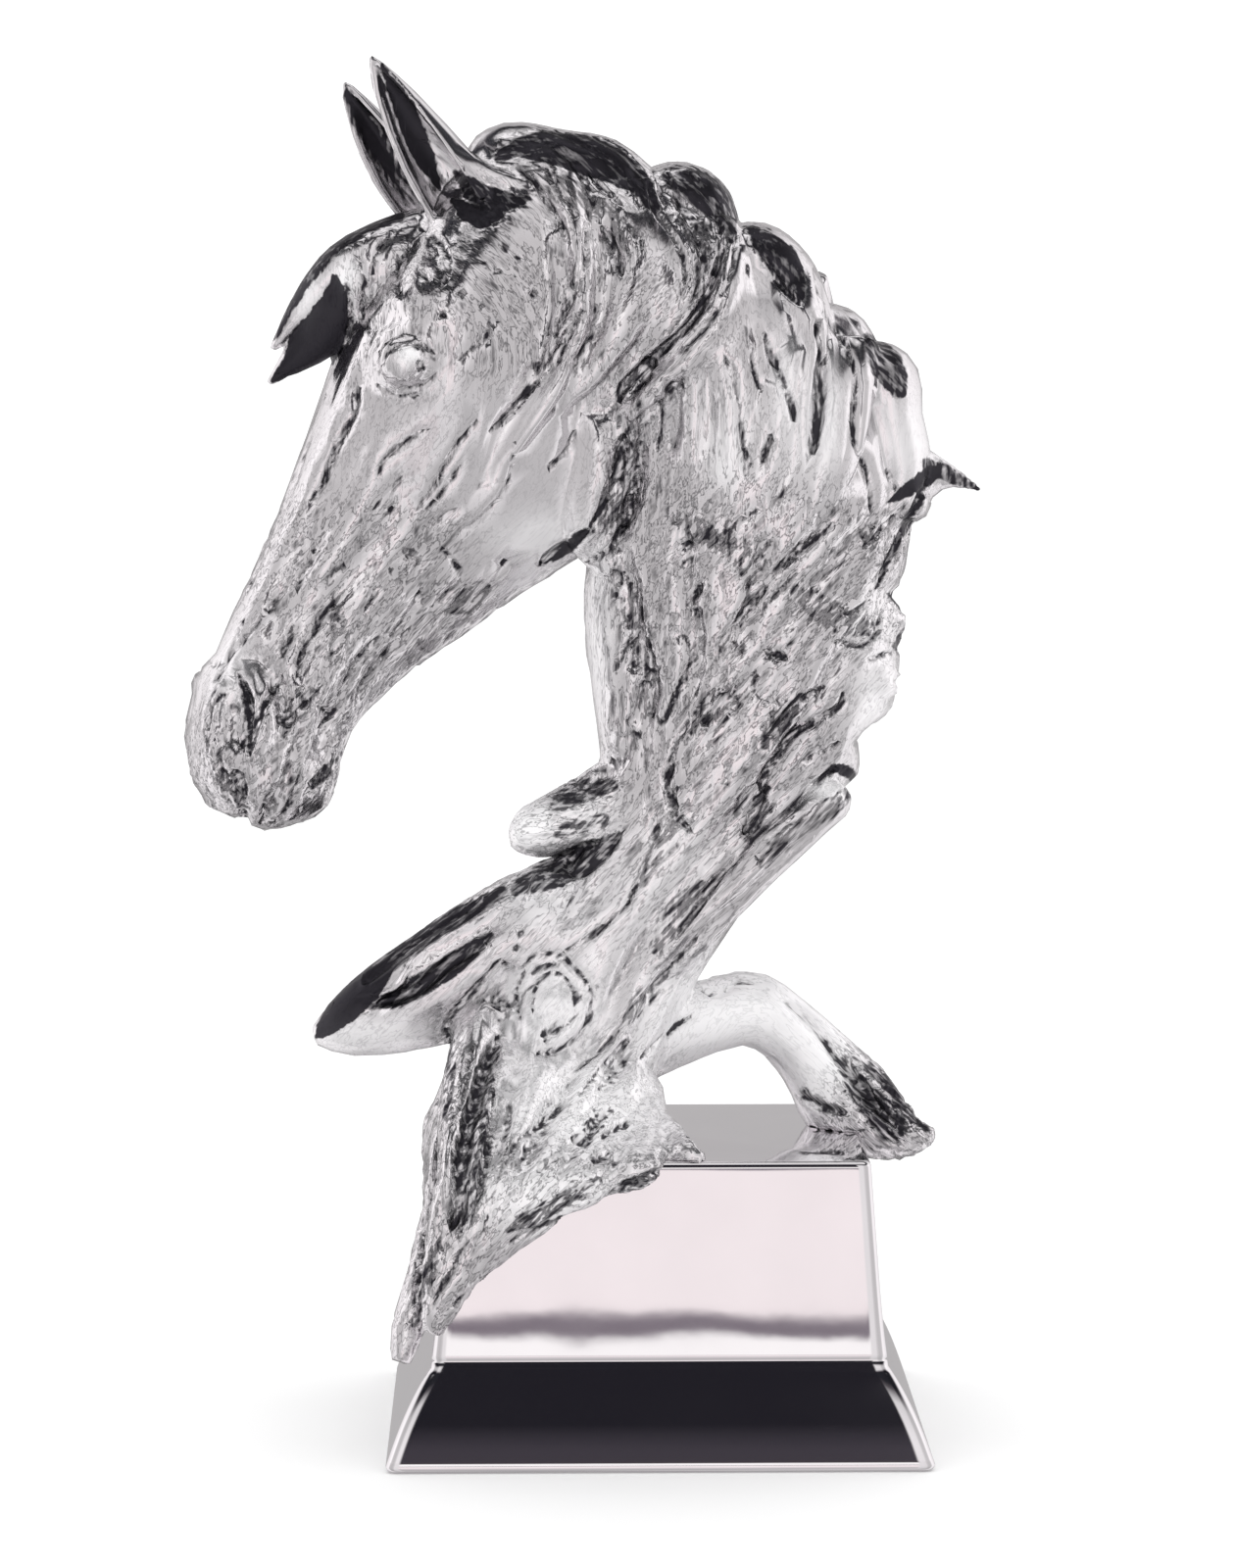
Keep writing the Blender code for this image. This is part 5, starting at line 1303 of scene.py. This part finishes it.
@dataclass(frozen=True)
class Ear:
    """A leaf-shaped ear, hollow on its opening side.

    Attributes:
        base: Root of the ear as (u, v, w).
        tip: Its point.
        bow: How far its middle bends aside.
        opening: The way that its hollow faces.
        width: Half its width.
        wall: Thickness of its wall.
    """

    base: Row
    tip: Row
    bow: Row
    opening: Row
    width: float
    wall: float = 2.0

    def axes(self) -> tuple[Array, Array, Array]:
        """Returns the ear's length, its back and the way across it."""
        axis = np.subtract(self.tip, self.base)
        axis = axis / np.linalg.norm(axis)
        back = -np.asarray(self.opening, float)
        back -= axis * (back @ axis)
        back /= np.linalg.norm(back)
        return axis, back, np.cross(axis, back)

    def radius(self, t: float | Array) -> float | Array:
        """Gives the ear's half-width at a share t of its length."""
        return self.width * (1 - t) ** 0.82 * (1 + 0.55 * t) + 0.7

    def centre(self, t: Array) -> Array:
        """Gives the points of the ear's middle line."""
        t = np.asarray(t, float)[:, None]
        base, tip, bow = (np.asarray(p, float) for p in (self.base, self.tip, self.bow))
        return base + (tip - base) * t + bow * np.sin(math.pi * t)

    def shape(self, bm: bmesh.types.BMesh, sides: int = 12, steps: int = 26) -> None:
        """Draws the ear from its root to its point."""
        _, back, across = self.axes()
        shares = np.linspace(0, 1, steps)
        rings = []
        for t, centre in zip(shares, self.centre(shares)):
            radius = self.radius(t)
            gape = math.radians(112 + 26 * (1 - t) ** 2)
            turn = np.linspace(-gape, gape, sides)
            inner = max(radius - self.wall, 0.3 * radius)
            outline = [(radius, a) for a in turn] + [(inner, a) for a in turn[::-1] * 0.97]
            rings.append(AXES.place([centre + r * (math.cos(a) * back + 0.86 * math.sin(a) * across)
                                     for r, a in outline]))
        sweep(bm, rings)

    def inside(self, places: Array, normals: Array) -> Array:
        """Says how far each point lies in the ear's hollow, from 0 to 1.

        Args:
            places: Points as (u, v, w).
            normals: Their outward directions in the same axes.

        Returns:
            The share of the hollow at each point.
        """
        axis, back, across = self.axes()
        length = np.linalg.norm(np.subtract(self.tip, self.base))
        t = (places - self.base) @ axis / length
        middle = self.centre(unit(t))
        away = places - middle
        x, y = away @ back, away @ across / 0.86
        reach = np.hypot(x, y)
        inward = -(normals @ back * x + normals @ across * y) / np.maximum(reach, 1e-6)
        limit = self.radius(np.clip(t, 0, 0.999)) - 0.35 * self.wall
        share = unit((t - 0.06) / 0.08) * unit((0.97 - t) / 0.05)
        return share * unit((inward - 0.05) / 0.4) * (reach < limit)


@dataclass
class Casting:
    """Head, mane, driftwood and roots: one casting, carved all over.

    Attributes:
        node: The CAD node that it stands for.
        step: Width of a cell of the one skin.
        triangles: How many triangles are kept, about.
        seat_gap: Gap between the casting and the plinth.
        ears: The near and the far ear.
        finish: The plate on it.
    """

    node: str = "horse_head_on_driftwood"
    step: float = 0.00055
    triangles: int = 188000
    seat_gap: float = 0.00005
    ears: tuple[Ear, ...] = (
        Ear((-45.0, 235.6, 13), (-69.6, 273.3, 14), (-0.5, -0.5, 0), (-0.32, -0.15, 0.94), 10.6),
        Ear((-51.4, 233.4, -13), (-77.8, 268, -13), (-1.5, -1.5, 0), (-0.36, -0.1, 0.92), 10.2),
    )
    finish: Silvering = Silvering("silver_plate_carved")

    def skull(self, bm: bmesh.types.BMesh, sides: int = 18) -> None:
        """Draws the skull and muzzle from their stations, alike on both sides."""
        rings = []
        for along, top, bridge, wide_at, wide, low_at, low, jaw in flowing(HEAD_STATIONS, 5):
            shoulder = top - 0.16 * (top - wide_at)
            outline = ((0, top), (bridge, shoulder), (wide, wide_at), (low, low_at),
                       (0.45 * low, jaw + 1.0), (0, jaw))
            half = flowing(outline, sides // 3)
            near = [(along, level, side) for side, level in half]
            far = [(along, level, -side) for side, level in half[-2:0:-1]]
            rings.append(AXES.place_on_head(near + far))
        sweep(bm, rings)

    def eyeballs(self, bm: bmesh.types.BMesh) -> None:
        """Sets the two eyeballs in the skull."""
        for side in (-1, 1):
            ball = bmesh.ops.create_uvsphere(bm, u_segments=32, v_segments=20, radius=6.4 * PART)["verts"]
            middle = Vector(AXES.place_on_head((62.5, 9.6, side * 22.4))[0])
            bmesh.ops.translate(bm, verts=ball, vec=middle)

    def mane(self, bm: bmesh.types.BMesh) -> None:
        """Draws crest, locks, forelock and ears."""
        for rows in MANE_LUMPS + FORELOCKS + LOCKS:
            limb(bm, rows)
        for number, rows in enumerate(LOCKS):
            drop = 3.0 * math.sin(2.3 * number)
            limb(bm, [(u + drop + 2, v - 2 + drop, -w, a, b) for u, v, w, a, b in rows])
        for ear in self.ears:
            ear.shape(bm)

    def driftwood(self, bm: bmesh.types.BMesh, plinth: Plinth) -> None:
        """Draws neck, trunk, branches and the roots over the plinth."""
        for rows in (NECK,) + BRANCHES:
            limb(bm, rows)
        for face, free, laid in ROOTS:
            limb(bm, self.draped(free, laid, face, plinth), sides=14)

    def draped(self, free: Rows, laid: Rows, face: Face, plinth: Plinth) -> list[Row]:
        """Lays a root's lower rows on one face of the plinth.

        Args:
            free: Rows where the root stands free.
            laid: Rows that are counted outwards from the face.
            face: The face that it runs down over.
            plinth: The plinth under it.

        Returns:
            All rows of the root, free.
        """
        rows = list(free)
        for u, v, w, inplane, across in laid:
            z = min(max(plinth.top + v * PART, plinth.foot_height), plinth.top)
            inset = plinth.batter * (z - plinth.foot_height) / plinth.block_height
            half_width = (plinth.block_width / 2 - inset) / PART
            half_depth = (plinth.block_depth / 2 - inset) / PART
            if face is Face.LEFT:
                u = (-half_width - w * math.sin(FIGURE_TURN)) / math.cos(FIGURE_TURN) - u
            elif face is Face.FRONT:
                w = (half_depth + u * math.sin(FIGURE_TURN)) / math.cos(FIGURE_TURN) + w
            else:
                w = (-half_depth + u * math.sin(FIGURE_TURN)) / math.cos(FIGURE_TURN) - w
            rows.append((u, v, w, inplane, across))
        return rows

    def stroke(self, points: Array, half_width: float, depth: float, path: Rows) -> Array:
        """Gives the depth of one broad stroke.

        Args:
            points: Points of the stroke's plane.
            half_width: Half its width.
            depth: Its depth, below nought where it stands out.
            path: Its middle line.

        Returns:
            The depth at each point.
        """
        away, place = off_path(points, flowing(path, 5))
        fade = np.clip(np.minimum(place, 1 - place) / 0.12, 0.25, 1)
        return depth * fade * unit(1 - (away / half_width) ** 2) ** 1.5

    def knot(self, points: Array, x: float, y: float, radius: float) -> Array:
        """Gives the depth of a knot: a ring groove round a low boss with a pit in it."""
        away = np.hypot(points[:, 0] - x, 1.15 * (points[:, 1] - y)) / radius
        ring = np.exp(-((away - 0.95) / 0.2) ** 2)
        boss = np.exp(-((away - 0.45) / 0.28) ** 2)
        return min(radius / 8, 0.75) * (1.8 * ring - 1.1 * boss + 0.8 * np.exp(-(away / 0.22) ** 2))

    def broad_carving(self, skin: Skin) -> None:
        """Cuts the broad strokes and knots into both flanks of the head and the figure."""
        normals = skin.outward()
        plane, tilt = AXES.read(skin.points), AXES.turned(normals)
        along, brow, sideways = AXES.head_axes()
        from_poll = plane - AXES.poll
        on_head = np.stack((from_poll @ along, from_poll @ brow), axis=1)
        side, side_tilt = from_poll @ sideways, tilt @ sideways
        of_head = (np.abs(side) < 31) & (side * side_tilt > 0) & (on_head[:, 0] > 12) & (on_head[:, 1] > -64)
        throat = 0.55 * (on_head[:, 0] - 12) - 62
        of_head &= (on_head[:, 0] > 100) | (on_head[:, 1] > throat) & (np.abs(side) > 11)
        depth = np.zeros(len(skin.points))
        facing = unit(1.5 * np.abs(side_tilt))
        index = np.flatnonzero(of_head)
        for half_width, deep, path in HEAD_STROKES:
            depth[index] += facing[index] * self.stroke(on_head[index], half_width, deep, path)
        for knot in HEAD_KNOTS:
            depth[index] += facing[index] * self.knot(on_head[index], *knot)
        facing = unit(1.5 * np.abs(tilt[:, 2]))
        for half_width, deep, path in FIGURE_STROKES:
            near = self.around(plane[:, :2], path, half_width)
            depth[near] += facing[near] * self.stroke(plane[near, :2], half_width, deep, path)
        for knot in FIGURE_KNOTS:
            depth += facing * self.knot(plane[:, :2], *knot)
        skin.press(depth)

    def around(self, points: Array, path: Rows, reach: float) -> Array:
        """Picks the points near a path by its box, so that far ones aren't measured."""
        path = np.asarray(path, float)
        low, high = path.min(axis=0) - 1.6 * reach - 2, path.max(axis=0) + 1.6 * reach + 2
        return np.flatnonzero(np.all((points > low) & (points < high), axis=1))

    def fine_carving(self, skin: Skin) -> Array:
        """Cuts the fine lines and pits, each with a low lip.

        Args:
            skin: The casting's skin.

        Returns:
            How much painted shade each corner gets along them, from 0 to 1.
        """
        normals = skin.outward()
        seen = VIEWPOINT.seen(skin.points)
        facing = unit(1.6 * np.abs(normals @ VIEWPOINT.axes()[2]))
        depth, lines = np.zeros(len(seen)), np.zeros(len(seen))
        for half_width, deep, path in FINE_CUTS:
            near = self.around(seen, path, 3 * half_width)
            away, place = off_path(seen[near], flowing(path, 4))
            taper = np.clip(np.minimum(place, 1 - place) / 0.2, 0.0, 1) ** 0.5
            share = away / (half_width * (0.35 + 0.65 * taper))
            cut = np.exp(-1.3 * share ** 2) - 0.22 * np.exp(-((share - 1.8) / 0.6) ** 2)
            depth[near] += facing[near] * deep * cut
            # Painted shade along the cut, darker for deeper cuts
            cut_shade = np.clip(0.45 * deep + 0.1, 0, 0.72) if deep > 0 else 0.0
            lines[near] = np.maximum(lines[near], facing[near] * cut_shade * np.exp(-2.0 * share ** 2))
        for x, y, radius in PITS:
            near = self.around(seen, ((x, y), (x, y)), 3 * radius)
            share = np.hypot(seen[near, 0] - x, seen[near, 1] - y) / radius
            dent = np.exp(-share ** 2) - 0.25 * np.exp(-((share - 1.7) / 0.5) ** 2)
            depth[near] += facing[near] * 1.1 * dent
            # Painted shade in the pit
            lines[near] = np.maximum(lines[near], 0.6 * facing[near] * np.exp(-1.6 * share ** 2))
        skin.press(depth)
        return lines

    def rim_carving(self, skin: Skin) -> None:
        """Cuts the notches that show on the rim, right round it."""
        seen = VIEWPOINT.seen(skin.points)
        depth = np.zeros(len(seen))
        for half_width, deep, path in RIM_CUTS:
            near = self.around(seen, path, 2 * half_width)
            away, place = off_path(seen[near], flowing(path, 4))
            depth[near] += deep * np.exp(-(away / half_width) ** 2) * unit(1.6 - 1.6 * place)
        skin.press(depth)

    def painted_darks(self, skin: Skin) -> tuple[Array, Array]:
        """Finds the painted dark reflections and painted shade of the plate.

        Args:
            skin: The casting's skin.

        Returns:
            How much painted dark each corner has from 0 to 1, and whether it lies near the edge of a painted
            dark place.
        """
        seen = VIEWPOINT.seen(skin.points)
        side = AXES.read(skin.points)[:, 2]
        wander = Lattice(SEED + 7)
        flat = np.concatenate((seen, np.zeros((len(seen), 1))), axis=1)
        drift = np.stack((wander.at(flat / 13 + 5), wander.at(flat / 13 + 31)), axis=1)
        seen = seen + 1.8 * drift + 0.8 * np.stack((wander.at(flat / 5), wander.at(flat / 5 + 17)), axis=1)
        dark, edge = np.zeros(len(seen)), np.zeros(len(seen), bool)
        everywhere = np.ones(len(seen), bool)
        places = [(strength, path, everywhere) for strength, path in DARK_REFLECTIONS_AND_SHADE]
        places += [(1.0, NEAR_EAR_DARK_REFLECTION, side > 1), (1.0, FAR_EAR_DARK_REFLECTION, side < 1)]
        for strength, path, on_side in places:
            rows = flowing(path, 4)
            near = self.around(seen, rows[:, :2], 1.3 * rows[:, 2].max() + 4)
            near = near[on_side[near]]
            away, place = off_path(seen[near], rows[:, :2])
            width = np.interp(place * (len(rows) - 1), np.arange(len(rows)), rows[:, 2])
            dark[near] = np.maximum(dark[near], strength * unit((width - away) / 2.4 + 0.5))
            edge[near] |= (np.abs(away - width) < 4.5) & (side[near] > -6)
        return dark, edge

    def grain_map(self, seen: Array, cell: float = 8.0) -> tuple[Array, Array]:
        """Reads from a coarse map how the skin runs and is worked.

        Args:
            seen: The corners' places in the picture.
            cell: The map's cell in pixels.

        Returns:
            The direction at each corner, and its four amounts of working.
        """
        columns, rows = int(VIEWPOINT.width / cell) + 2, int(VIEWPOINT.tall / cell) + 2
        grid = np.stack(np.meshgrid(np.arange(columns), np.arange(rows), indexing="ij"), axis=-1) * cell
        flat = grid.reshape(-1, 2).astype(float)
        turned = np.zeros(len(flat), complex)
        for path in FLOWS:
            line = flowing(path, 4)
            steps = np.diff(line, axis=0)
            angle = np.arctan2(-steps[:, 1], steps[:, 0])
            away = np.linalg.norm(flat[:, None] - (line[1:] + line[:-1])[None] / 2, axis=2)
            turned += (np.exp(2j * angle) / (away ** 2 + 12.0 ** 2) ** 1.5).sum(axis=1)
        amounts = np.full((len(flat), 4), (0.25, 0.15, 0.05, 0.0)) * 0.02
        total = np.full(len(flat), 0.02)
        for x, y, wide, tall, *work in GRAIN_PLACES:
            weight = np.exp(-1.2 * (((flat[:, 0] - x) / wide) ** 2 + ((flat[:, 1] - y) / tall) ** 2))
            amounts += weight[:, None] * np.asarray(work)
            total += weight
        amounts /= total[:, None]
        table = np.concatenate((turned.real[:, None], turned.imag[:, None], amounts), axis=1)
        table[:, :2] /= np.abs(turned)[:, None]
        table = table.reshape(columns, rows, 6)
        place = np.clip(seen / cell, 0, (columns - 1.001, rows - 1.001))
        low = place.astype(int)
        x, y = (place - low).T[:, :, None]
        i, j = low.T
        mixed = ((1 - x) * (1 - y) * table[i, j] + x * (1 - y) * table[i + 1, j]
                 + (1 - x) * y * table[i, j + 1] + x * y * table[i + 1, j + 1])
        return np.arctan2(mixed[:, 1], mixed[:, 0]) / 2, mixed[:, 2:]

    def grain(self, skin: Skin) -> None:
        """Works long grain, fine grain, worm tracks and hair into the skin, and stores how they run."""
        lean, work = self.grain_map(VIEWPOINT.seen(skin.points))
        busy = np.clip(0.06 + 1.15 * work.sum(axis=1), 0, 0.85)
        turn = AXES.right[0] * 2 * lean
        skin.store("busy", busy)
        skin.store("run_level", np.cos(turn))
        skin.store("run_slant", np.sin(turn))
        place = AXES.read(skin.points)
        warp = Lattice(SEED)
        wander = np.stack([warp.at(place / 9.0 + 11.0 * k) for k in range(3)], axis=1)
        place = place + 1.8 * wander
        lean = lean + 0.35 * warp.at(place / 14.0 + 40.0)
        long_grain = Lattice(SEED + 1).drawn_out(place, lean, 2.5, 6.0)
        fine_grain = Lattice(SEED + 2).drawn_out(place, lean, 1.15, 3.0)
        worms = Lattice(SEED + 3).at(place / 2.4)
        hair = Lattice(SEED + 4).drawn_out(place, lean, 1.5, 11.0)
        crease = unit(1 - np.abs(long_grain) / 0.28) ** 1.5
        track = unit(1 - np.abs(worms) / 0.24) ** 1.2
        depth = work[:, 0] * (1.2 * crease - 0.6 * long_grain)
        depth += work[:, 1] * (0.5 * unit(1 - np.abs(fine_grain) / 0.35) - 0.25 * fine_grain)
        depth += work[:, 2] * (0.6 * track - 0.25 * worms)
        depth += work[:, 3] * (0.6 * unit(1 - np.abs(hair) / 0.4) - 0.5 * hair)
        skin.press(depth)

    def mark_painted_light(self, skin: Skin, lines: Array) -> Array:
        """Stores the painted shade, painted dark reflections and satin places with their painted highlights
        at each corner.

        Args:
            skin: The casting's skin.
            lines: How much painted shade each corner gets along a fine cut.

        Returns:
            The corners to keep for crisp edges.
        """
        normals = skin.outward()
        # Painted shade: darker in recesses and creases
        wide = skin.evened(skin.points, 26)
        fine = skin.evened(skin.points, 5)
        sunk = ((wide - skin.points) * normals).sum(axis=1) / PART
        crease = ((fine - skin.points) * normals).sum(axis=1) / PART
        hollow = 0.5 * unit((sunk - 0.18) / 0.8) + 0.8 * unit((crease - 0.04) / 0.18)
        places, tilts = AXES.read(skin.points), AXES.turned(normals)
        # Painted dark reflection inside the ears' hollows
        for ear in self.ears:
            hollow = np.maximum(hollow, 0.25 * ear.inside(places, tilts))
        # Painted dark reflections and painted shade in the listed places
        dark, edge = self.painted_darks(skin)
        hollow = np.maximum(np.maximum(np.minimum(hollow, 0.66), dark), lines)
        seen = VIEWPOINT.seen(skin.points)
        # Satin places: a satin finish with a painted highlight
        satin_and_highlight = np.zeros(len(seen))
        for x, y, wide, tall, amount in SATIN_AND_HIGHLIGHT_PLACES:
            reach = ((seen[:, 0] - x) / wide) ** 2 + ((seen[:, 1] - y) / tall) ** 2
            satin_and_highlight = np.maximum(satin_and_highlight, amount * np.exp(-0.9 * reach ** 1.5))
        skin.store("hollow", hollow)
        skin.store("satin_and_highlight", satin_and_highlight)
        return np.flatnonzero(edge | (lines > 0.3) & (places[:, 2] > -6))

    def cut_seat(self, obj: bpy.types.Object, plinth: Plinth) -> None:
        """Takes the plinth's shape out of the casting, and drops what it cuts loose."""
        bm = bmesh.new()
        plinth.shape(bm, grow=self.seat_gap, along=12)
        cutter = as_object("seat_cutter", bm)
        cut = obj.modifiers.new("seat", "BOOLEAN")
        cut.operation = "DIFFERENCE"
        cut.solver = "MANIFOLD"
        cut.object = cutter
        settle(obj)
        bpy.data.objects.remove(cutter)
        bm = bmesh.new()
        bm.from_mesh(obj.data)
        left, bodies = set(bm.verts), []
        while left:
            body, edge = set(), {left.pop()}
            while edge:
                body |= edge
                edge = {e.other_vert(vert) for vert in edge for e in vert.link_edges} - body
            left -= body
            bodies.append(body)
        crumbs = set().union(*bodies) - max(bodies, key=len)
        bmesh.ops.delete(bm, geom=list(crumbs), context="VERTS")
        bm.to_mesh(obj.data)
        bm.free()

    def build(self, plinth: Plinth) -> bpy.types.Object:
        """Builds the casting and puts it in the CAD node's place.

        Args:
            plinth: The plinth that it sits on.

        Returns:
            The finished piece.
        """
        bm = bmesh.new()
        self.skull(bm)
        self.eyeballs(bm)
        self.mane(bm)
        self.driftwood(bm, plinth)
        obj = as_object("horse_head_casting", bm)
        one_skin = obj.modifiers.new("one_skin", "REMESH")
        one_skin.mode = "VOXEL"
        one_skin.voxel_size = self.step
        one_skin.adaptivity = 0.0
        settle(obj)
        log.info("one skin of %d corners", len(obj.data.vertices))
        skin = Skin(obj.data)
        skin.soften(14)
        self.broad_carving(skin)
        self.rim_carving(skin)
        skin.soften(4, give_back=1.04)
        lines = self.fine_carving(skin)
        self.grain(skin)
        skin.soften(2, give_back=1.04)
        kept = self.mark_painted_light(skin, lines)
        skin.keep()
        log.info("%d corners kept for crisp edges", len(kept))
        group = obj.vertex_groups.new(name="crisp")
        group.add([int(corner) for corner in kept], 1.0, "REPLACE")
        fewer = obj.modifiers.new("fewer_faces", "DECIMATE")
        fewer.vertex_group = "crisp"
        fewer.invert_vertex_group = True
        fewer.ratio = self.triangles / (2 * len(obj.data.polygons))
        fewer.use_collapse_triangulate = True
        settle(obj)
        self.cut_seat(obj, plinth)
        obj.vertex_groups.clear()
        obj.data.shade_smooth()
        obj.data.materials.clear()
        obj.data.materials.append(self.finish.material())
        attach(obj, "root")
        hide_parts(self.node)
        return obj


@dataclass
class Studio:
    """White floor, a lamp and the surround that the silver mirrors."""

    floor_size: float = 6.0
    floor_colour: tuple[float, float, float, float] = (0.93, 0.93, 0.93, 1.0)
    lamp_height: float = 1.6
    lamp_size: float = 2.4
    lamp_power: float = 4.0
    mirrored_strength: float = 1.06
    plain_strength: float = 1.18
    # Bearings in degrees from straight ahead where the surround ahead ends and where it is whole
    front_edge: tuple[float, float] = (8.5, 5.5)

    # Elevation in degrees and light of the surround, straight ahead and all around
    ahead: tuple[tuple[float, Row], ...] = (
        (-90, (0.40, 0.39, 0.40)), (-30, (0.62, 0.59, 0.60)), (-8, (0.90, 0.83, 0.84)),
        (-0.65, (0.93, 0.85, 0.86)), (-0.35, (0.22, 0.19, 0.22)), (1.0, (0.18, 0.15, 0.18)),
        (1.5, (1.0, 0.97, 0.97)), (11.5, (1.0, 0.97, 0.97)), (14.5, (0.06, 0.05, 0.056)),
        (24, (0.05, 0.044, 0.055)), (31, (0.014, 0.013, 0.018)), (60, (0.014, 0.013, 0.018)),
        (67, (0.85, 0.83, 0.84)), (90, (0.95, 0.93, 0.94)),
    )
    around: tuple[tuple[float, Row], ...] = (
        (-90, (0.7, 0.68, 0.69)), (-30, (0.84, 0.82, 0.83)), (0, (0.92, 0.89, 0.9)), (16, (0.92, 0.89, 0.9)),
        (27, (1.0, 0.97, 0.98)), (41, (0.8, 0.78, 0.79)), (48, (0.10, 0.09, 0.10)), (51, (0.02, 0.02, 0.026)),
        (58, (0.02, 0.02, 0.026)), (64, (0.85, 0.83, 0.84)), (90, (0.95, 0.93, 0.94)),
    )
    # Bearing in degrees from straight ahead of the plinth's front, and the surround's strength there
    bearings: Rows = (
        (-180, 0.5), (-160, 0.5), (-146, 0.9), (-105, 1.05), (-84, 1.1), (-68, 0.62), (-38, 0.56),
        (-24, 0.66), (-12, 0.86), (12, 0.86), (24, 0.7), (38, 0.6), (68, 0.62), (84, 1.1), (105, 1.05),
        (146, 0.9), (160, 0.5), (180, 0.5),
    )

    def by_height(self, stops: tuple) -> list[tuple[float, tuple]]:
        """Turns elevations into places on a ramp of the direction's height."""
        return [((math.sin(math.radians(angle)) + 1) / 2, tuple(light) + (1.0,)) for angle, light in stops]

    def surround(self) -> None:
        """Builds the world: bright walls, a dark line on them, and a black ceiling."""
        world = bpy.data.worlds.new("surround")
        bpy.context.scene.world = world
        world.use_nodes = True
        tree = world.node_tree
        tree.nodes.clear()
        link, new, nodes = tree.links.new, tree.nodes.new, Nodes(tree)
        way = new("ShaderNodeTexCoord").outputs["Generated"]
        split = new("ShaderNodeSeparateXYZ")
        link(way, split.inputs[0])
        x, y, z = split.outputs
        shift = nodes.calculate("MULTIPLY_ADD", nodes.cloud(way, 3.0, 3.0), 0.01, -0.005)
        level = nodes.calculate("MULTIPLY_ADD", nodes.calculate("ADD", z, shift), 0.5, 0.5)
        bearing = nodes.calculate("ARCTAN2", x, nodes.calculate("MULTIPLY", y, -1.0))
        turn = nodes.calculate("MULTIPLY_ADD", bearing, 1 / (2 * math.pi), 0.5)
        ahead = nodes.ramp(level, self.by_height(self.ahead))
        around = nodes.ramp(level, self.by_height(self.around))
        strength = nodes.ramp(turn, [(angle / 360 + 0.5, (s, s, s, 1.0)) for angle, s in self.bearings])
        edge = tuple(math.cos(math.radians(angle)) for angle in self.front_edge)
        frontness = nodes.remap(nodes.calculate("COSINE", bearing), edge, (0.0, 1.0), "SMOOTHSTEP")
        lit = nodes.blend(around, strength, 1.0, "MULTIPLY")
        mirrored = new("ShaderNodeBackground")
        mirrored.inputs["Strength"].default_value = self.mirrored_strength
        link(nodes.blend(lit, ahead, frontness), mirrored.inputs["Color"])
        plain = new("ShaderNodeBackground")
        plain.inputs["Color"].default_value = (1.0, 1.0, 1.0, 1.0)
        plain.inputs["Strength"].default_value = self.plain_strength
        choose = new("ShaderNodeMixShader")
        glossy = new("ShaderNodeLightPath").outputs["Is Glossy Ray"]
        link(nodes.calculate("SUBTRACT", 1.0, glossy), choose.inputs[0])
        link(mirrored.outputs[0], choose.inputs[1])
        link(plain.outputs[0], choose.inputs[2])
        link(choose.outputs[0], new("ShaderNodeOutputWorld").inputs["Surface"])

    def floor(self) -> bpy.types.Object:
        """Lays the pale floor."""
        bm = bmesh.new()
        bmesh.ops.create_circle(bm, cap_ends=True, segments=96, radius=self.floor_size)
        obj = as_object("floor", bm)
        material = bpy.data.materials.new("pale_floor")
        material.use_nodes = True
        tree = material.node_tree
        shader = tree.nodes["Principled BSDF"]
        shader.inputs["Base Color"].default_value = self.floor_colour
        shader.inputs["Roughness"].default_value = 0.9
        shader.inputs["Specular IOR Level"].default_value = 0.1
        clear = tree.nodes.new("ShaderNodeBsdfTransparent")
        choose = tree.nodes.new("ShaderNodeMixShader")
        tree.links.new(tree.nodes.new("ShaderNodeLightPath").outputs["Is Glossy Ray"], choose.inputs[0])
        tree.links.new(shader.outputs[0], choose.inputs[1])
        tree.links.new(clear.outputs[0], choose.inputs[2])
        tree.links.new(choose.outputs[0], tree.nodes["Material Output"].inputs["Surface"])
        obj.data.materials.append(material)
        return obj

    def lamp(self) -> None:
        """Hangs a wide soft lamp that the silver doesn't mirror."""
        data = bpy.data.lights.new("overhead", "AREA")
        data.shape = "DISK"
        data.size = self.lamp_size
        data.energy = self.lamp_power
        lamp = bpy.data.objects.new("overhead", data)
        bpy.context.scene.collection.objects.link(lamp)
        lamp.location = (0.0, 0.0, self.lamp_height)
        lamp.visible_glossy = False
        lamp.visible_camera = False

    def build(self) -> None:
        """Sets up floor, lamp and surround."""
        self.floor()
        self.lamp()
        self.surround()
        bpy.context.scene.view_settings.view_transform = "Standard"


def main() -> None:
    """Builds the sub-assemblies in order and reports each piece."""
    logging.basicConfig(level=logging.INFO, format="%(name)s: %(message)s", force=True)
    VIEWPOINT.set_up()
    Studio().build()
    plinth = Plinth()
    piece = plinth.build()
    log.info("%s: %d corners", piece.name, len(piece.data.vertices))
    piece = Casting().build(plinth)
    log.info("%s: %d triangles", piece.name, sum(len(face.vertices) - 2 for face in piece.data.polygons))


if __name__ == "__main__":
    main()
